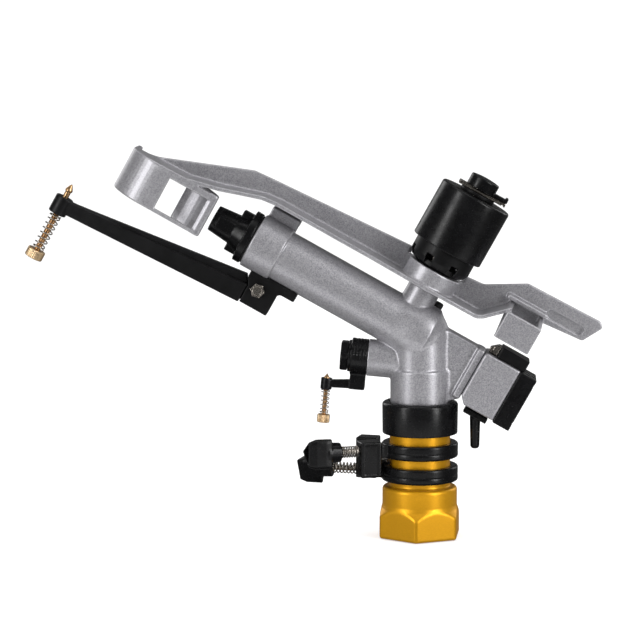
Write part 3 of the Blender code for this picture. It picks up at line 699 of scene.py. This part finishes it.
def build_casting():
    """Elbow, barrel, side port, pivot post, stop lug and web in one, with cast fillets."""
    to_port = PORT.inverted() @ BARREL
    barrel_end = -149.0
    barrel, collar, collar_end = 20.4, 22.0, -124.6
    knee, pipe, stub, port = 21.9, 21.7, 23.3, 14.4
    stub_low, stub_top = 105.1, 132.1
    elbow = BARREL.translation.z
    pad = (2.0, 13.5, 0.0)
    web_side = soften(
        [(0, 6), (18.3, 13.8, 2.5), (50.2, 13.8, 0.6), (50.2, -29, 0.6), (46, -33.2), (30, -42),
         (8, -20)], 2.0
    )

    def distance(p):
        world = moved(p, BARREL)
        side = moved(p, to_port)
        tube = cylinder(p, barrel, barrel_end, 3, axis=0)
        tube = join(tube, cylinder(p, collar, barrel_end, collar_end, axis=0, edge=0.9), 0.5)
        ball = np.linalg.norm(p, axis=1) - knee
        upright = cylinder(world, pipe, 120, elbow)
        upright = join(upright, cylinder(world, stub, stub_low, stub_top, edge=1.3), 0.8)
        body = join(join(tube, ball, 9.0), upright, 1.0)
        body = join(body, cylinder(side, port, -40.8, -6, axis=0, edge=0.4), 1.2)
        post = cylinder(p, 13.0, 8, 32.6, centre=(PIVOT_X, 0, 0), edge=0.7)
        body = join(body, post, 0.8)
        web = plate(p, web_side, -9, 9, 1.2)
        web = join(web, block(p, (44.5, -14, -28.6), (50.2, 14, 13.8), 1.4), 2.0)
        body = join(body, web, 3.0)
        lug = block(p, (-147.6, 3, 6), (-123.6, 26, 29.6), 0.9)
        lug = join(lug, block(p, (-147.6, 19, 24), (-123.6, 26, 43), 0.9), 1.0)
        body = join(body, lug, 1.2)
        body = join(body, block(p, (-124.6, -5, -20.2), (-99.6, 5, -14), 0.8), 0.8)
        body = carve(body, cylinder(world, TUBE_HOLE, 100, 126.3), 0.6)
        body = carve(body, cylinder(world, WATERWAY, 120, elbow - 2))
        bend = np.linalg.norm(p, axis=1) - WATERWAY
        body = carve(body, join(bend, cylinder(p, WATERWAY - 0.1, barrel_end - 5, 2, axis=0)), 0.5)
        body = carve(body, cylinder(side, 9, -45, -5, axis=0), 0.5)
        body = carve(body, cylinder(p, SHAFT_HOLE, 18.4, 40, centre=(PIVOT_X, 0, 0)), 0.4)
        body = carve(body, cylinder(p, 3.9, 13.6, 30, centre=pad))
        return carve(body, cylinder(p, PIN_HOLE, 46, 60, axis=0, centre=(0, 0, TRIP_Z)))

    cast("head_body", distance, BARREL, "silver", "head", "head_casting", 0.85)
    low, high = span("arm_pad", BARREL)
    bumper = [(0, low[2]), (3.6, low[2]), (3.6, high[2], 1.4), (0, high[2])]
    place = at(BARREL, pad[0], pad[1])
    lathe("arm_bumper", bumper, place, "rubber", "head", "arm_pad", 0.2, SMALL, closed=False)
    casting_mark()


def casting_mark():
    """A faint raised circle, such as an ejector leaves, on the near side of the web."""
    centre_x, centre_z, radius, lift = 31.0, -9.0, 4.2, 0.25
    profile = [(radius - 0.35, -0.6), (radius + 0.35, -0.6), (radius + 0.3, lift), (radius - 0.3, lift)]
    place = at(BARREL, centre_x, -9.0, centre_z) @ Matrix.Rotation(math.radians(90), 4, "X")
    lathe("casting_mark", profile, place, "silver", "head", (), 0.15, 48)


def build_nozzle():
    """Main nozzle with its two lugs, two ribs and notched flange, and its seal."""
    tip, flange_low, flange_high = span("main_nozzle", BARREL)[0][0], -156.4, -150.3

    def distance(p):
        reach = np.hypot(p[:, 1], p[:, 2])
        along = p[:, 0]
        cone = reach - np.interp(along, (tip, tip + 18, tip + 27), (10.4, 12.1, 15.2)).astype(p.dtype)
        body = corner(cone, slab(along, tip, -155), 0.5)
        body = join(body, cylinder(p, 15.5, flange_low, -138, axis=0, edge=0.5))
        body = join(body, cylinder(p, 21.3, flange_low, flange_high, axis=0, edge=0.8), 0.6)
        for level in (14.15, -14.15):
            lug = block(p, (-165.6, -5, level - 3.15), (-155, 5, level + 3.15), 0.9)
            body = join(body, lug, 0.7)
        for level in (10.5, -10.5):
            rib = block(p, (tip + 4, level - 1.1, -4.6), (-155, level + 1.1, 4.6), 0.6)
            body = join(body, rib, 0.6)
        bore = reach - np.interp(along, (tip - 2, tip, tip + 8, -138), (8.4, 8.4, 9.2, 14.2)).astype(p.dtype)
        body = carve(body, bore * 0.98, 0.5)
        return carve(body, block(p, (-153.5, -4, 19.0), (-148, 4, 25)), 0.3)

    cast("jet_nozzle", distance, BARREL, "black_gloss", "head", "main_nozzle", 0.55)
    plain_ring("nozzle_washer", 16.2, BARREL, "rubber", "head", "nozzle_seal", axis="X")


def build_side_nozzle():
    collar_end = span("side_nozzle_collar", PORT)[1][0]
    screw_x = (PORT.inverted() @ SIDE_SCREW.translation).x

    def collar(p):
        body = cylinder(p, 14.4, -54.0, collar_end, axis=0, edge=0.9)
        body = join(body, cylinder(p, 12.4, -56.2, -50, axis=0, edge=0.5), 0.4)
        grooves = np.abs(np.mod(p[:, 0] + 0.9, 2.6) - 1.3)
        ribs = corner(cylinder(p, 14.6, -52.2, -42.2, axis=0), 0.32 - grooves)
        body = carve(body, np.maximum(ribs, -cylinder(p, 14.1, -53, -41, axis=0)), 0.1)
        lug = block(p, (-53.6, -6, -25.6), (-41.6, 6, -10), 0.7)
        body = join(body, lug, 0.8)
        side = [(-50, -18.4), (-50, -25.4), (screw_x, -26.2), (screw_x, -20.6)]
        arm = plate(p, side, -3.2, 3.2, 0.6)
        body = join(body, arm, 0.8)
        body = join(body, cylinder(p, 4.4, -28.1, -19, centre=(screw_x, 0, 0), edge=0.6), 0.6)
        body = carve(body, cylinder(p, 9.4, -60, -38, axis=0), 0.4)
        return carve(body, cylinder(p, 2.3, -32, -15, centre=(screw_x, 0, 0)), 0.2)

    cast("side_collar", collar, PORT, "black_gloss", "head", "side_nozzle_collar", 0.5)
    face = span("side_nozzle", PORT)[0][0]
    flats = soften(arc((0, 0), 22 / math.sqrt(3), 30, 330, 5), 0.6)

    def hexagon(p):
        body = corner(outline(p[:, 2], p[:, 1], flats), slab(p[:, 0], face, -56.5), 0.7)
        body = corner(body, np.hypot(p[:, 1], p[:, 2]) - 12.4 + 0.5 * np.maximum(face + 1.6 - p[:, 0], 0))
        body = join(body, cylinder(p, 8.7, -57, -44, axis=0))
        taper = np.interp(p[:, 0], (-64, -40), (4.0, 7.2)).astype(p.dtype)
        return carve(body, np.hypot(p[:, 1], p[:, 2]) - taper, 0.4)

    cast("side_tip", hexagon, PORT, "black_gloss", "head", "side_nozzle", 0.45)


def needle_screw(prefix, place, core, spring_size):
    """A pointed screw, its knurled knob, and the spring between the knob and the arm's boss."""
    body, joint = f"{prefix}_screw", f"{prefix}_screw_travel"
    low, high = span(f"{prefix}_needle", place)
    tip = high[2]
    cone, waist = core * 2.2, core * 0.86
    profile = [
        (0, low[2]), (core * 0.9, low[2]), (core * 0.9, tip - cone - 1.6, 0.3),
        (waist, tip - cone - 1.2, 0.3),
        (core + 0.45, tip - cone - 0.4, 0.4), (core + 0.35, tip - cone + 0.8, 1.0),
        (core * 0.45, tip - 1.4, 1.2),
        (0, tip),
    ]
    lathe(f"{prefix}_point", profile, place, "bronze", body, f"{prefix}_needle", 0.2, SMALL, closed=False)
    threaded(f"{prefix}_thread", place, core + 0.08, low[2] + 0.3, tip - cone - 5, 0.9, "bronze", body)
    low, high = span(f"{prefix}_knob", place)
    knurled(f"{prefix}_grip", place, high[0], low[2], high[2], "brass_knob", body, f"{prefix}_knob")
    low, high = span(f"{prefix}_spring", place)
    radius, thickness, turns, keep = spring_size
    made = spring(
        f"{prefix}_coil", place, radius, thickness, low[2] + 0.1, high[2] - 0.1, turns, f"{prefix}_slide",
        f"{prefix}_spring",
    )
    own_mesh(made)


# ---------------------------------------------------------------- jet breaker


def build_breaker():
    pivot = (BREAKER_PIVOT.x, 0, BREAKER_PIVOT.z)
    side = soften(
        [
            (-138.5, -16), (-100, -16), (-97.9, -20.6, 0.6), (-97.9, -26.6, 1.0), (-109.6, -26.6, 3.0),
            (-111.6, -28.6, 2.5), (-111.6, -46.4, 0.8), (-135.2, -46.4, 0.3), (-135.2, -31.9, 0.3),
            (-138.5, -25.4),
        ],
        0.4,
    )

    def bracket(p):
        body = plate(p, side, -9, 9, 0.7)
        body = carve(body, cylinder(p, 22.3, -152, -123, axis=0))
        body = carve(body, cylinder(p, 20.7, -126, -90, axis=0))
        body = carve(body, block(p, (-126, -5.3, -20.5), (-90, 5.3, -10)))
        body = carve(body, block(p, (-150, -4.8, -55), (-114, 4.8, -23.6)), 0.3)
        return carve(body, cylinder(p, PIN_HOLE, -12, 12, axis=1, centre=pivot))

    cast("breaker_mount", bracket, BARREL, "black", "head", "breaker_bracket", 0.5)

    near, far = -136.1, -289.0
    boss_x = (BARREL.inverted() @ BREAKER_SCREW.translation).x
    lower = soften([(near, -31.9), (near, -47.3), (far, -54.8), (far, -44.4)], 0.4)
    upper = [(near - 4.1, -25.4), (near - 0.7, -31), (near - 0.7, -40), (-280, -50), (-280, -43.6)]
    upper = soften(upper, 0.4)
    tongue = [(-138, -45.5), (-119.5, -42.5), *arc((pivot[0], pivot[2]), 7.6, -20, 95, 8), (-138, -27.6)]

    def arm(p):
        half = np.interp(p[:, 0], (far, near), (5.5, 9.0)).astype(p.dtype)
        body = plate(p, lower, -half, half, 0.8)
        body = join(body, plate(p, upper, -5.4, 5.4, 0.8), 0.5)
        body = join(body, plate(p, tongue, -4.4, 4.4, 0.4))
        body = join(body, cylinder(p, 7.2, -57.6, -43, centre=(boss_x, 0, 0), edge=0.9), 0.8)
        body = carve(body, cylinder(p, PIN_HOLE, -12, 12, axis=1, centre=pivot))
        return carve(body, cylinder(p, 3.2, -62, -38, centre=(boss_x, 0, 0)), 0.4)

    cast("breaker_lever", arm, BARREL, "black", "breaker", "breaker_arm", 0.65)
    hex_bolt()


def hex_bolt():
    """The breaker arm's pivot bolt, with a chamfered head on the near side, and its nut."""
    place = at(BARREL, BREAKER_PIVOT.x, 0, BREAKER_PIVOT.z)
    low, high = span("breaker_bolt", place)
    seat = -9.35
    flats = arc((0, 0), 10 / math.sqrt(3), 12, 312, 5)

    def bolt(p):
        head = plate(p, flats, low[1], seat, 0.3)
        reach = np.hypot(p[:, 0], p[:, 2])
        head = corner(head, (reach - 5.25) * 0.5 - (p[:, 1] - low[1]) * 0.86, 0.15)
        head = carve(head, cylinder(p, 3.6, low[1] - 1, low[1] + 0.35, axis=1), 0.15)
        return join(head, cylinder(p, 3.0, seat - 1, high[1], axis=1, edge=0.5))

    cast("pivot_bolt", bolt, place, "steel", "head", "breaker_bolt", 0.3)
    low, high = span("breaker_nut", place)

    def nut(p):
        body = plate(p, flats, low[1], high[1], 0.3)
        reach = np.hypot(p[:, 0], p[:, 2])
        body = corner(body, (reach - 5.25) * 0.5 + (p[:, 1] - high[1]) * 0.86, 0.15)
        return carve(body, reach - 3.2, 0.2)

    cast("pivot_nut", nut, place, "steel", "head", "breaker_nut", 0.35)


# ---------------------------------------------------------------- swing arm


def build_arm():
    """The hammer arm: web on the far side, flange, hub, spoon with its window and vane, and tail."""
    floor, hub_top = 33.4, 49.5
    web_side = soften(
        [
            (-262.5, 14.8, 0.3), (-255.5, 14.8, 4), (-174.5, 46.3, 4), (-157.8, 47.6, 4), (-38.6, 55.0, 6),
            (9.8, 54.9, 6), (25, 56.2, 8), (54.6, 73.6, 4), (118.5, 75.2, 2.5), (122, 71.6, 2.5),
            (113, 55.2, 2.5),
            (80.3, 52.3, 1), (78.4, 52.2, 1), (78.4, 45, 0.6), (48.9, 45, 0.6), (45, 47.5, 2), (40, 45, 3),
            (33, floor, 3), (-146, floor, 6), (-158, 32.4, 6), (-190, 22.0, 6), (-214, 17.4, 6),
            (-255.5, 12.4, 2), (-262.5, 11.6, 0.3),
        ],
        1.0,
        steps=3,
    )
    rise = 1.5
    floor_line = [
        (-262.5, 14.3 + rise), (-216, 15.6 + rise), (-190, 21.9 + rise), (-158, 32.0 + rise),
        (-146, floor + rise),
        (30.4, floor + rise), (35, 36 + rise), (50.0, 50.5 + rise),
    ]
    floor_line = soften(floor_line, 7.0, steps=3, closed=False)
    plan = soften(
        [
            (-262.6, 14, 0.5), (-262.6, 2), (-256, -10), (-247, -16.5), (-237, -19.2), (-189, -19.2),
            (-175, -17), (-60, -19), (-30, -22.9), (5, -22.9), (40, -20), (52, -20), (52, 14),
        ],
        6.0,
        steps=3,
    )
    near_y, bend = -19.0, 27.4
    half_plate = 2.0
    scoop = [(-189, near_y + half_plate)]
    scoop += arc((-237.8, near_y + bend), bend - half_plate, 270, 180, 12) + [(-263.2, 29.6)]
    vane = [(-190, -16.8), (-193.0, -16.6)] + arc((-213.5, -22), 25.8, 17, 88, 8)
    gusset = [(-22, 29.4), (-22, 50.6), (13, 57), (13, 46)]

    def distance(p):
        x, y, z = p[:, 0], p[:, 1], p[:, 2]
        web = plate(p, web_side, 12.0, 16.2, 0.9)
        flange = corner(strip(x, z, floor_line, rise), outline(x, y, plan), 0.7)
        body = join(web, flange, 2.2)
        hub = cylinder(p, 21.75, floor, hub_top, centre=(PIVOT_X, 0, 0), edge=0.8)
        body = join(body, hub, 1.6)
        spoon = corner(strip(x, y, scoop, half_plate), slab(z, -17.0, 17.5), 1.0)
        spoon = carve(spoon, block(p, (-227.4, -26, -14.2), (-192.0, -12, 12.2), 0.8), 0.5)
        scoop_vane = corner(strip(x, y, vane, 1.8), slab(z, -16.8, 18.0), 0.6)
        body = join(body, join(spoon, scoop_vane, 0.6), 1.2)
        striker = block(p, (48.9, -25, 28.8), (78.4, -21.5, 51), 0.9)
        for low in (48.9, 75.0):
            side = corner(outline(y, z, gusset), slab(x, low, low + 3.4), 0.6)
            striker = join(striker, side, 1.0)
        shelf = block(p, (45.0, 1.0, 57.0), (79.0, 13.0, 60.4), 0.8)
        body = join(body, join(striker, shelf, 1.0), 1.6)
        slot = strip(x, z, [(82, 61.2), (106.5, 61.2)], 3.6)
        body = carve(body, corner(slot, slab(y, 8, 14.4)), 0.9)
        body = carve(body, cylinder(p, 27.5, hub_top, 80, centre=(PIVOT_X, 0, 0)), 0.4)
        return carve(body, cylinder(p, 8.6, 25, 60, centre=(PIVOT_X, 0, 0)), 0.4)

    cast("hammer_arm", distance, BARREL, "silver", "arm", "swing_arm", 0.85)
    plain_ring("arm_bushing", SHAFT_HOLE, PIVOT, "bronze", "arm", "hub_bushing")
    low, high = span("torsion_spring", PIVOT)
    spring("return_spring", PIVOT, 17.5, 3.0, low[2], high[2], 6.5, "arm", "torsion_spring")


def build_spring_bush():
    hole, top = 8.6, span("spring_bush", PIVOT)[1][2]
    side = soften([(hole, 49.9), (17.5, 49.9), (22.6, 52.4), (24.8, 56.5), (24.8, top), (hole, top)], 1.2)

    def distance(p):
        reach = np.hypot(p[:, 0], p[:, 1])
        body = outline(reach, p[:, 2], side)
        body = carve(body, cylinder(p, 22.4, 55, top + 5), 0.4)
        body = carve(body, cylinder(p, hole, 40, 60), 0.3)
        notches = 7
        sector = math.tau / notches
        around = np.arctan2(p[:, 1], p[:, 0]) + math.radians(60.8)
        around = np.mod(around + sector / 2, sector) - sector / 2
        across_notch = np.abs(reach * np.sin(around)) - 3.3
        notch = np.maximum(np.maximum(across_notch, slab(p[:, 2], 45, 59.8)), 20.3 - reach)
        return carve(body, notch, 0.3)

    cast("spring_seat", distance, PIVOT, "black", "arm", "spring_bush", 0.55)


def build_cup():
    """Pivot shaft, spring cup, its collar, the locking clip and the cap."""
    low, high = span("pivot_shaft", PIVOT)
    shaft = [(0, low[2]), (6.0, low[2]), (6.0, high[2], 0.8), (0, high[2])]
    lathe("arm_shaft", shaft, PIVOT, "steel", "head", "pivot_shaft", 0.5, SMALL, closed=False)
    low, high = span("spring_cup", PIVOT)
    outer, bottom, top = high[0], low[2], high[2]
    wall, roof = 2.7, 3.3
    cup = [
        (SHAFT_HOLE, top - roof), (outer - wall, top - roof, 2.0), (outer - wall, bottom, 0.5),
        (outer, bottom, 0.9), (outer, top, 1.8), (SHAFT_HOLE, top),
    ]
    lathe("cup_body", cup, PIVOT, "black_gloss", "cup", "spring_cup", 0.5, ROUND * 2)
    low, high = span("cup_collar", PIVOT)
    collar = [(SHAFT_HOLE, low[2]), (high[0], low[2]), (high[0], high[2]), (SHAFT_HOLE, high[2])]
    lathe("cup_spacer", collar, PIVOT, "black", "cup", "cup_collar", 0.4)
    low, high = span("locking_clip", PIVOT)

    def clip(p):
        body = block(p, low, high, 0.5)
        body = carve(body, block(p, (-14.6, -6.9, 100), (40, 6.9, 140), 0.5), 0.3)
        body = carve(body, block(p, (19.6, -20, 100), (21.0, 20, 118.3)), 0.1)
        ridges = 0.25 * np.sin(p[:, 0] * 2.6) * (p[:, 0] > 4)
        return body + np.where(p[:, 2] > 119.2, np.maximum(ridges, 0), 0) * 0.8

    cast("lock_clip", clip, PIVOT, "steel", "cup", "locking_clip", 0.35)
    low, high = span("cup_cap", PIVOT)
    crown, crown_radius = 130.2, 62

    def cap(p):
        dome = np.linalg.norm(p - np.array((0, 0, crown - crown_radius), p.dtype), axis=1) - crown_radius
        body = corner(cylinder(p, 11.8, 120.1, 131), dome, 0.9)
        lug = block(p, (9, -5.5, 120.1), (high[0], 5.5, 122.9), 0.7)
        lug = join(lug, block(p, (high[0] - 2.2, -5.5, 120.1), (high[0], 5.5, 124.4), 0.7), 0.4)
        body = join(body, lug, 0.8)
        return carve(body, cylinder(p, SHAFT_HOLE, 110, 127.9), 0.3)

    cast("cap_knob", cap, PIVOT, "black_gloss", "cup", "cup_cap", 0.5)


# ---------------------------------------------------------------- reverser


def build_reverser():
    side = soften(
        [(50.5, 14, 3.0), (81, 14, 0.6), (81, -30, 0.6), (55.5, -30, 1.5), (50.5, -24.5, 1.5)], 1.0
    )
    screws = [(y, z) for y in (-13.8, 13.8) for z in (-24.5, 8.5)]

    def housing(p):
        body = plate(p, side, -18, 18, 1.8)
        body = carve(body, block(p, (54, -11, -27), (90, 11, 11), 1.0), 0.5)
        body = carve(body, block(p, (57, -11, -40), (90, 11, -20), 1.0), 0.5)
        body = carve(body, block(p, (62.4, -6.6, 5), (75.6, 6.6, 20), 0.6), 0.4)
        body = carve(body, cylinder(p, PIN_HOLE, 48, 58, axis=0, centre=(0, 0, TRIP_Z)))
        for y, z in screws:
            body = carve(body, cylinder(p, 2.1, 70, 90, axis=0, centre=(0, y, z)))
        return body

    cast("reverser_body", housing, BARREL, "silver", "head", "reverser_housing", 0.65)

    def cover(p):
        body = block(p, (81.3, -18, -31), (95.6, 18, 13.8), 0.7)
        inside = block(p, (90, -15.1, -28.1), (99, 15.1, 10.9))
        rim = carve(block(p, (94.9, -15.9, -28.9), (97, 15.9, 11.7)), inside)
        body = carve(body, rim, 0.15)
        body = carve(body, cylinder(p, PIN_HOLE, 78, 88.4, axis=0, centre=(0, 0, TRIP_Z)))
        for y, z in screws:
            body = carve(body, cylinder(p, 2.1, 78, 94, axis=0, centre=(0, y, z)))
            body = carve(body, cylinder(p, 3.6, 92.8, 98, axis=0, centre=(0, y, z)), 0.2)
        return body

    cast("reverser_lid", cover, BARREL, "black_gloss", "head", "reverser_cover", 0.6)
    for i, (y, z) in enumerate(screws):
        place = at(BARREL, 0, y, z)

        def screw(p):
            body = cylinder(p, 1.8, 74, 93.5, axis=0, edge=0.3)
            body = join(body, cylinder(p, 3.3, 93.1, 95.4, axis=0, edge=0.6))
            cross = np.minimum(
                block(p, (94.3, -2.0, -0.4), (97, 2.0, 0.4)), block(p, (94.3, -0.4, -2.0), (97, 0.4, 2.0))
            )
            return carve(body, cross, 0.1)

        cast(f"lid_screw_{i + 1}", screw, place, "steel", "head", f"cover_screw_{i + 1}", 0.3)
    low, high = span("trip_shaft", TRIP)
    shaft = [(0, low[0]), (3.0, low[0]), (3.0, high[0]), (0, high[0])]
    lathe("trip_pivot", shaft, TRIP, "steel", "head", "trip_shaft", 0.3, SMALL, closed=False, axis="X")
    low, high = span("toggle_spring", TRIP)
    spring("toggle_coil", TRIP, 4.4, 1.1, low[0], high[0], 1.9, "head", "toggle_spring", 0.3, "X")


def build_trip():
    """The trip lever with its pin, and the striker block that it lifts."""
    lean = BARREL.to_euler().y
    pin_place = Matrix.Translation((67.5, 0, -16.4)) @ Matrix.Rotation(-lean, 4, "Y")
    to_pin = pin_place.inverted()

    def lever(p):
        body = cylinder(p, 6, 58, 78.6, axis=0, edge=0.5)
        bar = [(58.2, -3.8), (60.2, -20), (77.8, -20), (78.4, -3.8)]
        body = join(body, plate(p, bar, -2.4, 2.4, 0.5), 0.8)
        body = join(body, block(p, (58.6, -4.4, -20), (78.4, 4.4, -15.6), 0.6), 0.6)
        body = join(body, block(p, (62, -9, 1.5), (76, 0, 6.2), 0.6), 0.6)
        q = moved(p, to_pin)
        pin = cylinder(q, 3.5, -28.2, -1, edge=2.6, top_radius=4.2)
        body = join(body, pin, 0.8)
        return carve(body, cylinder(p, PIN_HOLE, 50, 90, axis=0), 0.2)

    cast("trip_arm", lever, TRIP, "black_gloss", "trip", "trip_lever", 0.5)

    def striker(p):
        body = block(p, (60.2, -15, 14.4), (84, 9, 23.6), 0.6)
        slope = (p[:, 0] - 60.2) * -0.5 + (p[:, 2] - 23.6) * 0.86 - 0.9
        body = corner(body, slope, 0.3)
        return join(body, block(p, (63, -6, -8), (75, 6, 16), 0.5))

    cast("reverse_striker", striker, BARREL, "black", "striker", "striker_block", 0.5)
    side = soften([(52.6, 14.4), (59.9, 14.4), (59.9, 23.0), (57.5, 22.4), (52.6, 18.2)], 0.3)

    def wedge(p):
        body = plate(p, side, -8, 4, 0.5)
        return carve(body, block(p, (51, -9, 16.2), (55.4, -3, 30), 0.3), 0.3)

    cast("striker_shoe", wedge, BARREL, "steel", "striker", "striker_wedge", 0.35)


# ---------------------------------------------------------------- stop rings


def build_stop_ring(name, band_span, lobe_turn):
    """A clamp ring with its stop block, nut, sprung screw and wing knob."""
    place = RINGS[name]
    low, high = span(f"{name}_ring", place)
    ring_low, ring_high = band_span
    bore, outer = 23.9, 29.8
    pocket_top = span(f"{name}_ring_nut", place)[1][2] + 0.8

    def ring(p):
        band = cylinder(p, outer, ring_low, ring_high, edge=1.6)
        reach = np.hypot(p[:, 0], p[:, 1]) - outer - 0.1
        groove = np.hypot(reach, p[:, 2] - (ring_low + ring_high) / 2 + 1.0)
        band = carve(band, groove - 0.45, 0.15)
        stop = block(p, (33.5, -7.8, low[2]), (50.0, 7.8, high[2]), 1.3)
        panel = block(p, (36.4, 7.4, low[2] + 2.4), (47.2, 9, high[2] - 2.4), 0.5)
        stop = carve(stop, panel, 0.3)
        web = block(p, (26, -7.0, ring_low + 0.8), (36, 7.0, ring_high - 0.8), 0.8)
        body = join(join(band, web, 1.2), stop, 1.0)
        body = carve(body, cylinder(p, bore, -60, 60), 0.6)
        body = carve(body, cylinder(p, 2.9, 15, 60, axis=0))
        return carve(body, block(p, (30.2, -5.0, -5.4), (34.4, 5.0, pocket_top)), 0.2)

    cast(f"{name}_clamp", ring, place, "black_gloss", f"{name}_stop", f"{name}_ring", 0.6)
    nut_low, nut_high = span(f"{name}_ring_nut", place)

    def nut(p):
        body = block(p, nut_low, nut_high, 0.4)
        if nut_high[2] > ring_high + 2:
            body = join(body, block(p, (24.6, -4.6, ring_high + 0.3), (nut_high[0], 6.5, nut_high[2]), 0.4))
        return carve(body, cylinder(p, 2.7, 20, 60, axis=0), 0.2)

    nut_box = (24, -5, nut_low[2]), (nut_high[0], 7, nut_high[2])
    cast(f"{name}_plate_nut", nut, place, "steel", f"{name}_stop", f"{name}_ring_nut", 0.4, nut_box)
    screw = f"{name}_ring_screw"
    low, high = span(screw, place)
    threaded(f"{name}_bolt", place, 2.5, low[0], high[0], 1.25, "steel", f"{name}_screw", screw, "X")
    low, high = span(f"{name}_ring_spring", place)
    coil = spring(
        f"{name}_coil", place, 4.1, 1.1, low[0] + 0.05, high[0] - 0.05, 7.5, f"{name}_slide",
        f"{name}_ring_spring", 0.8, "X",
    )
    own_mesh(coil)
    build_lobed_knob(name, place @ Matrix.Rotation(lobe_turn, 4, "X"))


def build_lobed_knob(name, place):
    near, far = (point[0] for point in span(f"{name}_ring_knob", place))
    lobes, dish = [], []
    for direction in (-60, 60, 180):
        lobe = math.radians(direction)
        lobes += arc((10.0 * math.cos(lobe), 10.0 * math.sin(lobe)), 3.2, direction - 60, direction + 60, 6)
        dish += arc((6.4 * math.cos(lobe), 6.4 * math.sin(lobe)), 1.8, direction - 60, direction + 60, 4)

    def knob(p):
        hub = cylinder(p, 7.6, near, near + 11.4, axis=0, edge=0.8, top_radius=8.2)
        side = outline(p[:, 1], p[:, 2], lobes)
        taper = 0.35 * np.maximum(p[:, 0] - far + 6, 0)
        body = corner(side + taper, slab(p[:, 0], near + 8.4, far), 0.9)
        for direction in (0, 120, 240):
            turn = math.radians(direction)
            away = p[:, 1] * math.cos(turn) + p[:, 2] * math.sin(turn)
            groove = np.hypot(away - 38.5, p[:, 0] - near - 4.4)
            body = carve(body, groove - 31.2, 0.5)
        body = join(hub, body, 1.0)
        end = corner(outline(p[:, 1], p[:, 2], dish), slab(p[:, 0], far - 5, far + 3))
        return carve(body, end, 0.5)

    cast(f"{name}_lobed", knob, place, "black_gloss", f"{name}_screw", f"{name}_ring_knob", 0.5)


# ---------------------------------------------------------------- studio


def area_light(name, place, target, width, height, power):
    light = bpy.data.lights.new(name, "AREA")
    light.shape = "RECTANGLE"
    light.size, light.size_y = width, height
    light.energy = power
    made = bpy.data.objects.new(name, light)
    made.visible_camera = False
    made.location = place
    made.rotation_euler = (Vector(target) - Vector(place)).to_track_quat("-Z", "Y").to_euler()
    bpy.context.scene.collection.objects.link(made)


def build_studio():
    """A round pale room with a plain floor, soft lights and the camera."""
    scene = bpy.context.scene
    radius, bend, wall = 4.0, 1.4, 3.6
    profile = [(0.0, 0.0), (radius - bend, 0.0)]
    for angle in range(9, 91, 9):
        turn = math.radians(angle)
        profile.append((radius - bend + bend * math.sin(turn), bend - bend * math.cos(turn)))
    profile += [(radius, wall), (0.0, wall)]
    under = 0.0006
    room_profile = [(reach, level - under) for reach, level in profile]
    mesh = from_bmesh("studio_room", revolved(room_profile, 64, 1e-5))
    mesh.shade_smooth()
    mesh.materials.append(studio_paper())
    room = bpy.data.objects.new("studio_room", mesh)
    room.visible_glossy = False
    scene.collection.objects.link(room)

    world = bpy.data.worlds.new("studio_world")
    world.use_nodes = True
    world.node_tree.nodes["Background"].inputs["Color"].default_value = (1, 1, 1, 1)
    world.node_tree.nodes["Background"].inputs["Strength"].default_value = 0.12
    scene.world = world
    middle = (-0.06, 0, 0.18)
    area_light("left_strip", (-1.25, -1.15, 0.6), middle, 0.4, 1.5, 15)
    area_light("right_strip", (1.25, -1.0, 0.6), middle, 0.4, 1.5, 21)
    area_light("top_soft", (-0.1, -0.2, 1.7), middle, 1.5, 0.9, 7)
    area_light("back_left", (-1.1, 1.3, 0.8), middle, 0.7, 1.2, 5)
    area_light("back_right", (1.2, 1.3, 0.8), middle, 0.7, 1.2, 5)
    area_light("low_glow", (-0.1, -0.2, 0.012), (-0.1, -0.2, 1.0), 0.8, 0.2, 0.5)

    target = Vector((-0.0822, 0, 0.1733))
    azimuth, elevation, distance = math.radians(4), math.radians(7), 1.94
    away = Vector(
        (
            math.sin(azimuth) * math.cos(elevation),
            -math.cos(azimuth) * math.cos(elevation),
            math.sin(elevation),
        )
    )
    camera = bpy.data.cameras.new("camera")
    camera.sensor_width = 36.0
    camera.lens = 142.3
    camera.clip_start = 0.05
    holder = bpy.data.objects.new("camera", camera)
    holder.location = target + away * distance
    holder.rotation_euler = (-away).to_track_quat("-Z", "Y").to_euler()
    scene.collection.objects.link(holder)
    scene.camera = holder
    scene.view_settings.view_transform = "Standard"


def studio_paper():
    """White paper that glows a little, so the room lights the object evenly from all round."""
    made = Shader("studio_paper", (0.55, 0.55, 0.55), 0.9, 0.0)
    cloud = made.ranged(made.noise(0.6, 1), 0, 1)
    made.feed("Base Color", made.mix(cloud, (0.55, 0.55, 0.55), (0.56, 0.56, 0.56)))
    made.set("Specular IOR Level", 0.0)
    made.set("Emission Color", (1.0, 1.0, 1.0, 1.0))
    made.set("Emission Strength", 0.47)
    return made.material


# ---------------------------------------------------------------- assembly


def repaint_frame():
    """Every CAD node gets its record slot's finish. Only the flow straightener's stays in view."""
    for part in frame["record"]["subparts"]:
        for slot in frame["nodes"][part["node"]].material_slots:
            slot.material = FINISHES[part["material_slot"]]


repaint_frame()
build_base()
build_swivel()
build_casting()
build_nozzle()
build_side_nozzle()
needle_screw("side", SIDE_SCREW, 1.9, (3.2, 0.8, 6.5, 0.56))
build_breaker()
needle_screw("breaker", BREAKER_SCREW, 2.6, (4.5, 1.1, 8.0, 0.6))
build_arm()
build_spring_bush()
build_cup()
build_reverser()
build_trip()
build_stop_ring("upper", (-5.7, 5.7), 0.0)
build_stop_ring("lower", (-6.0, 6.0), math.radians(-30))
build_studio()
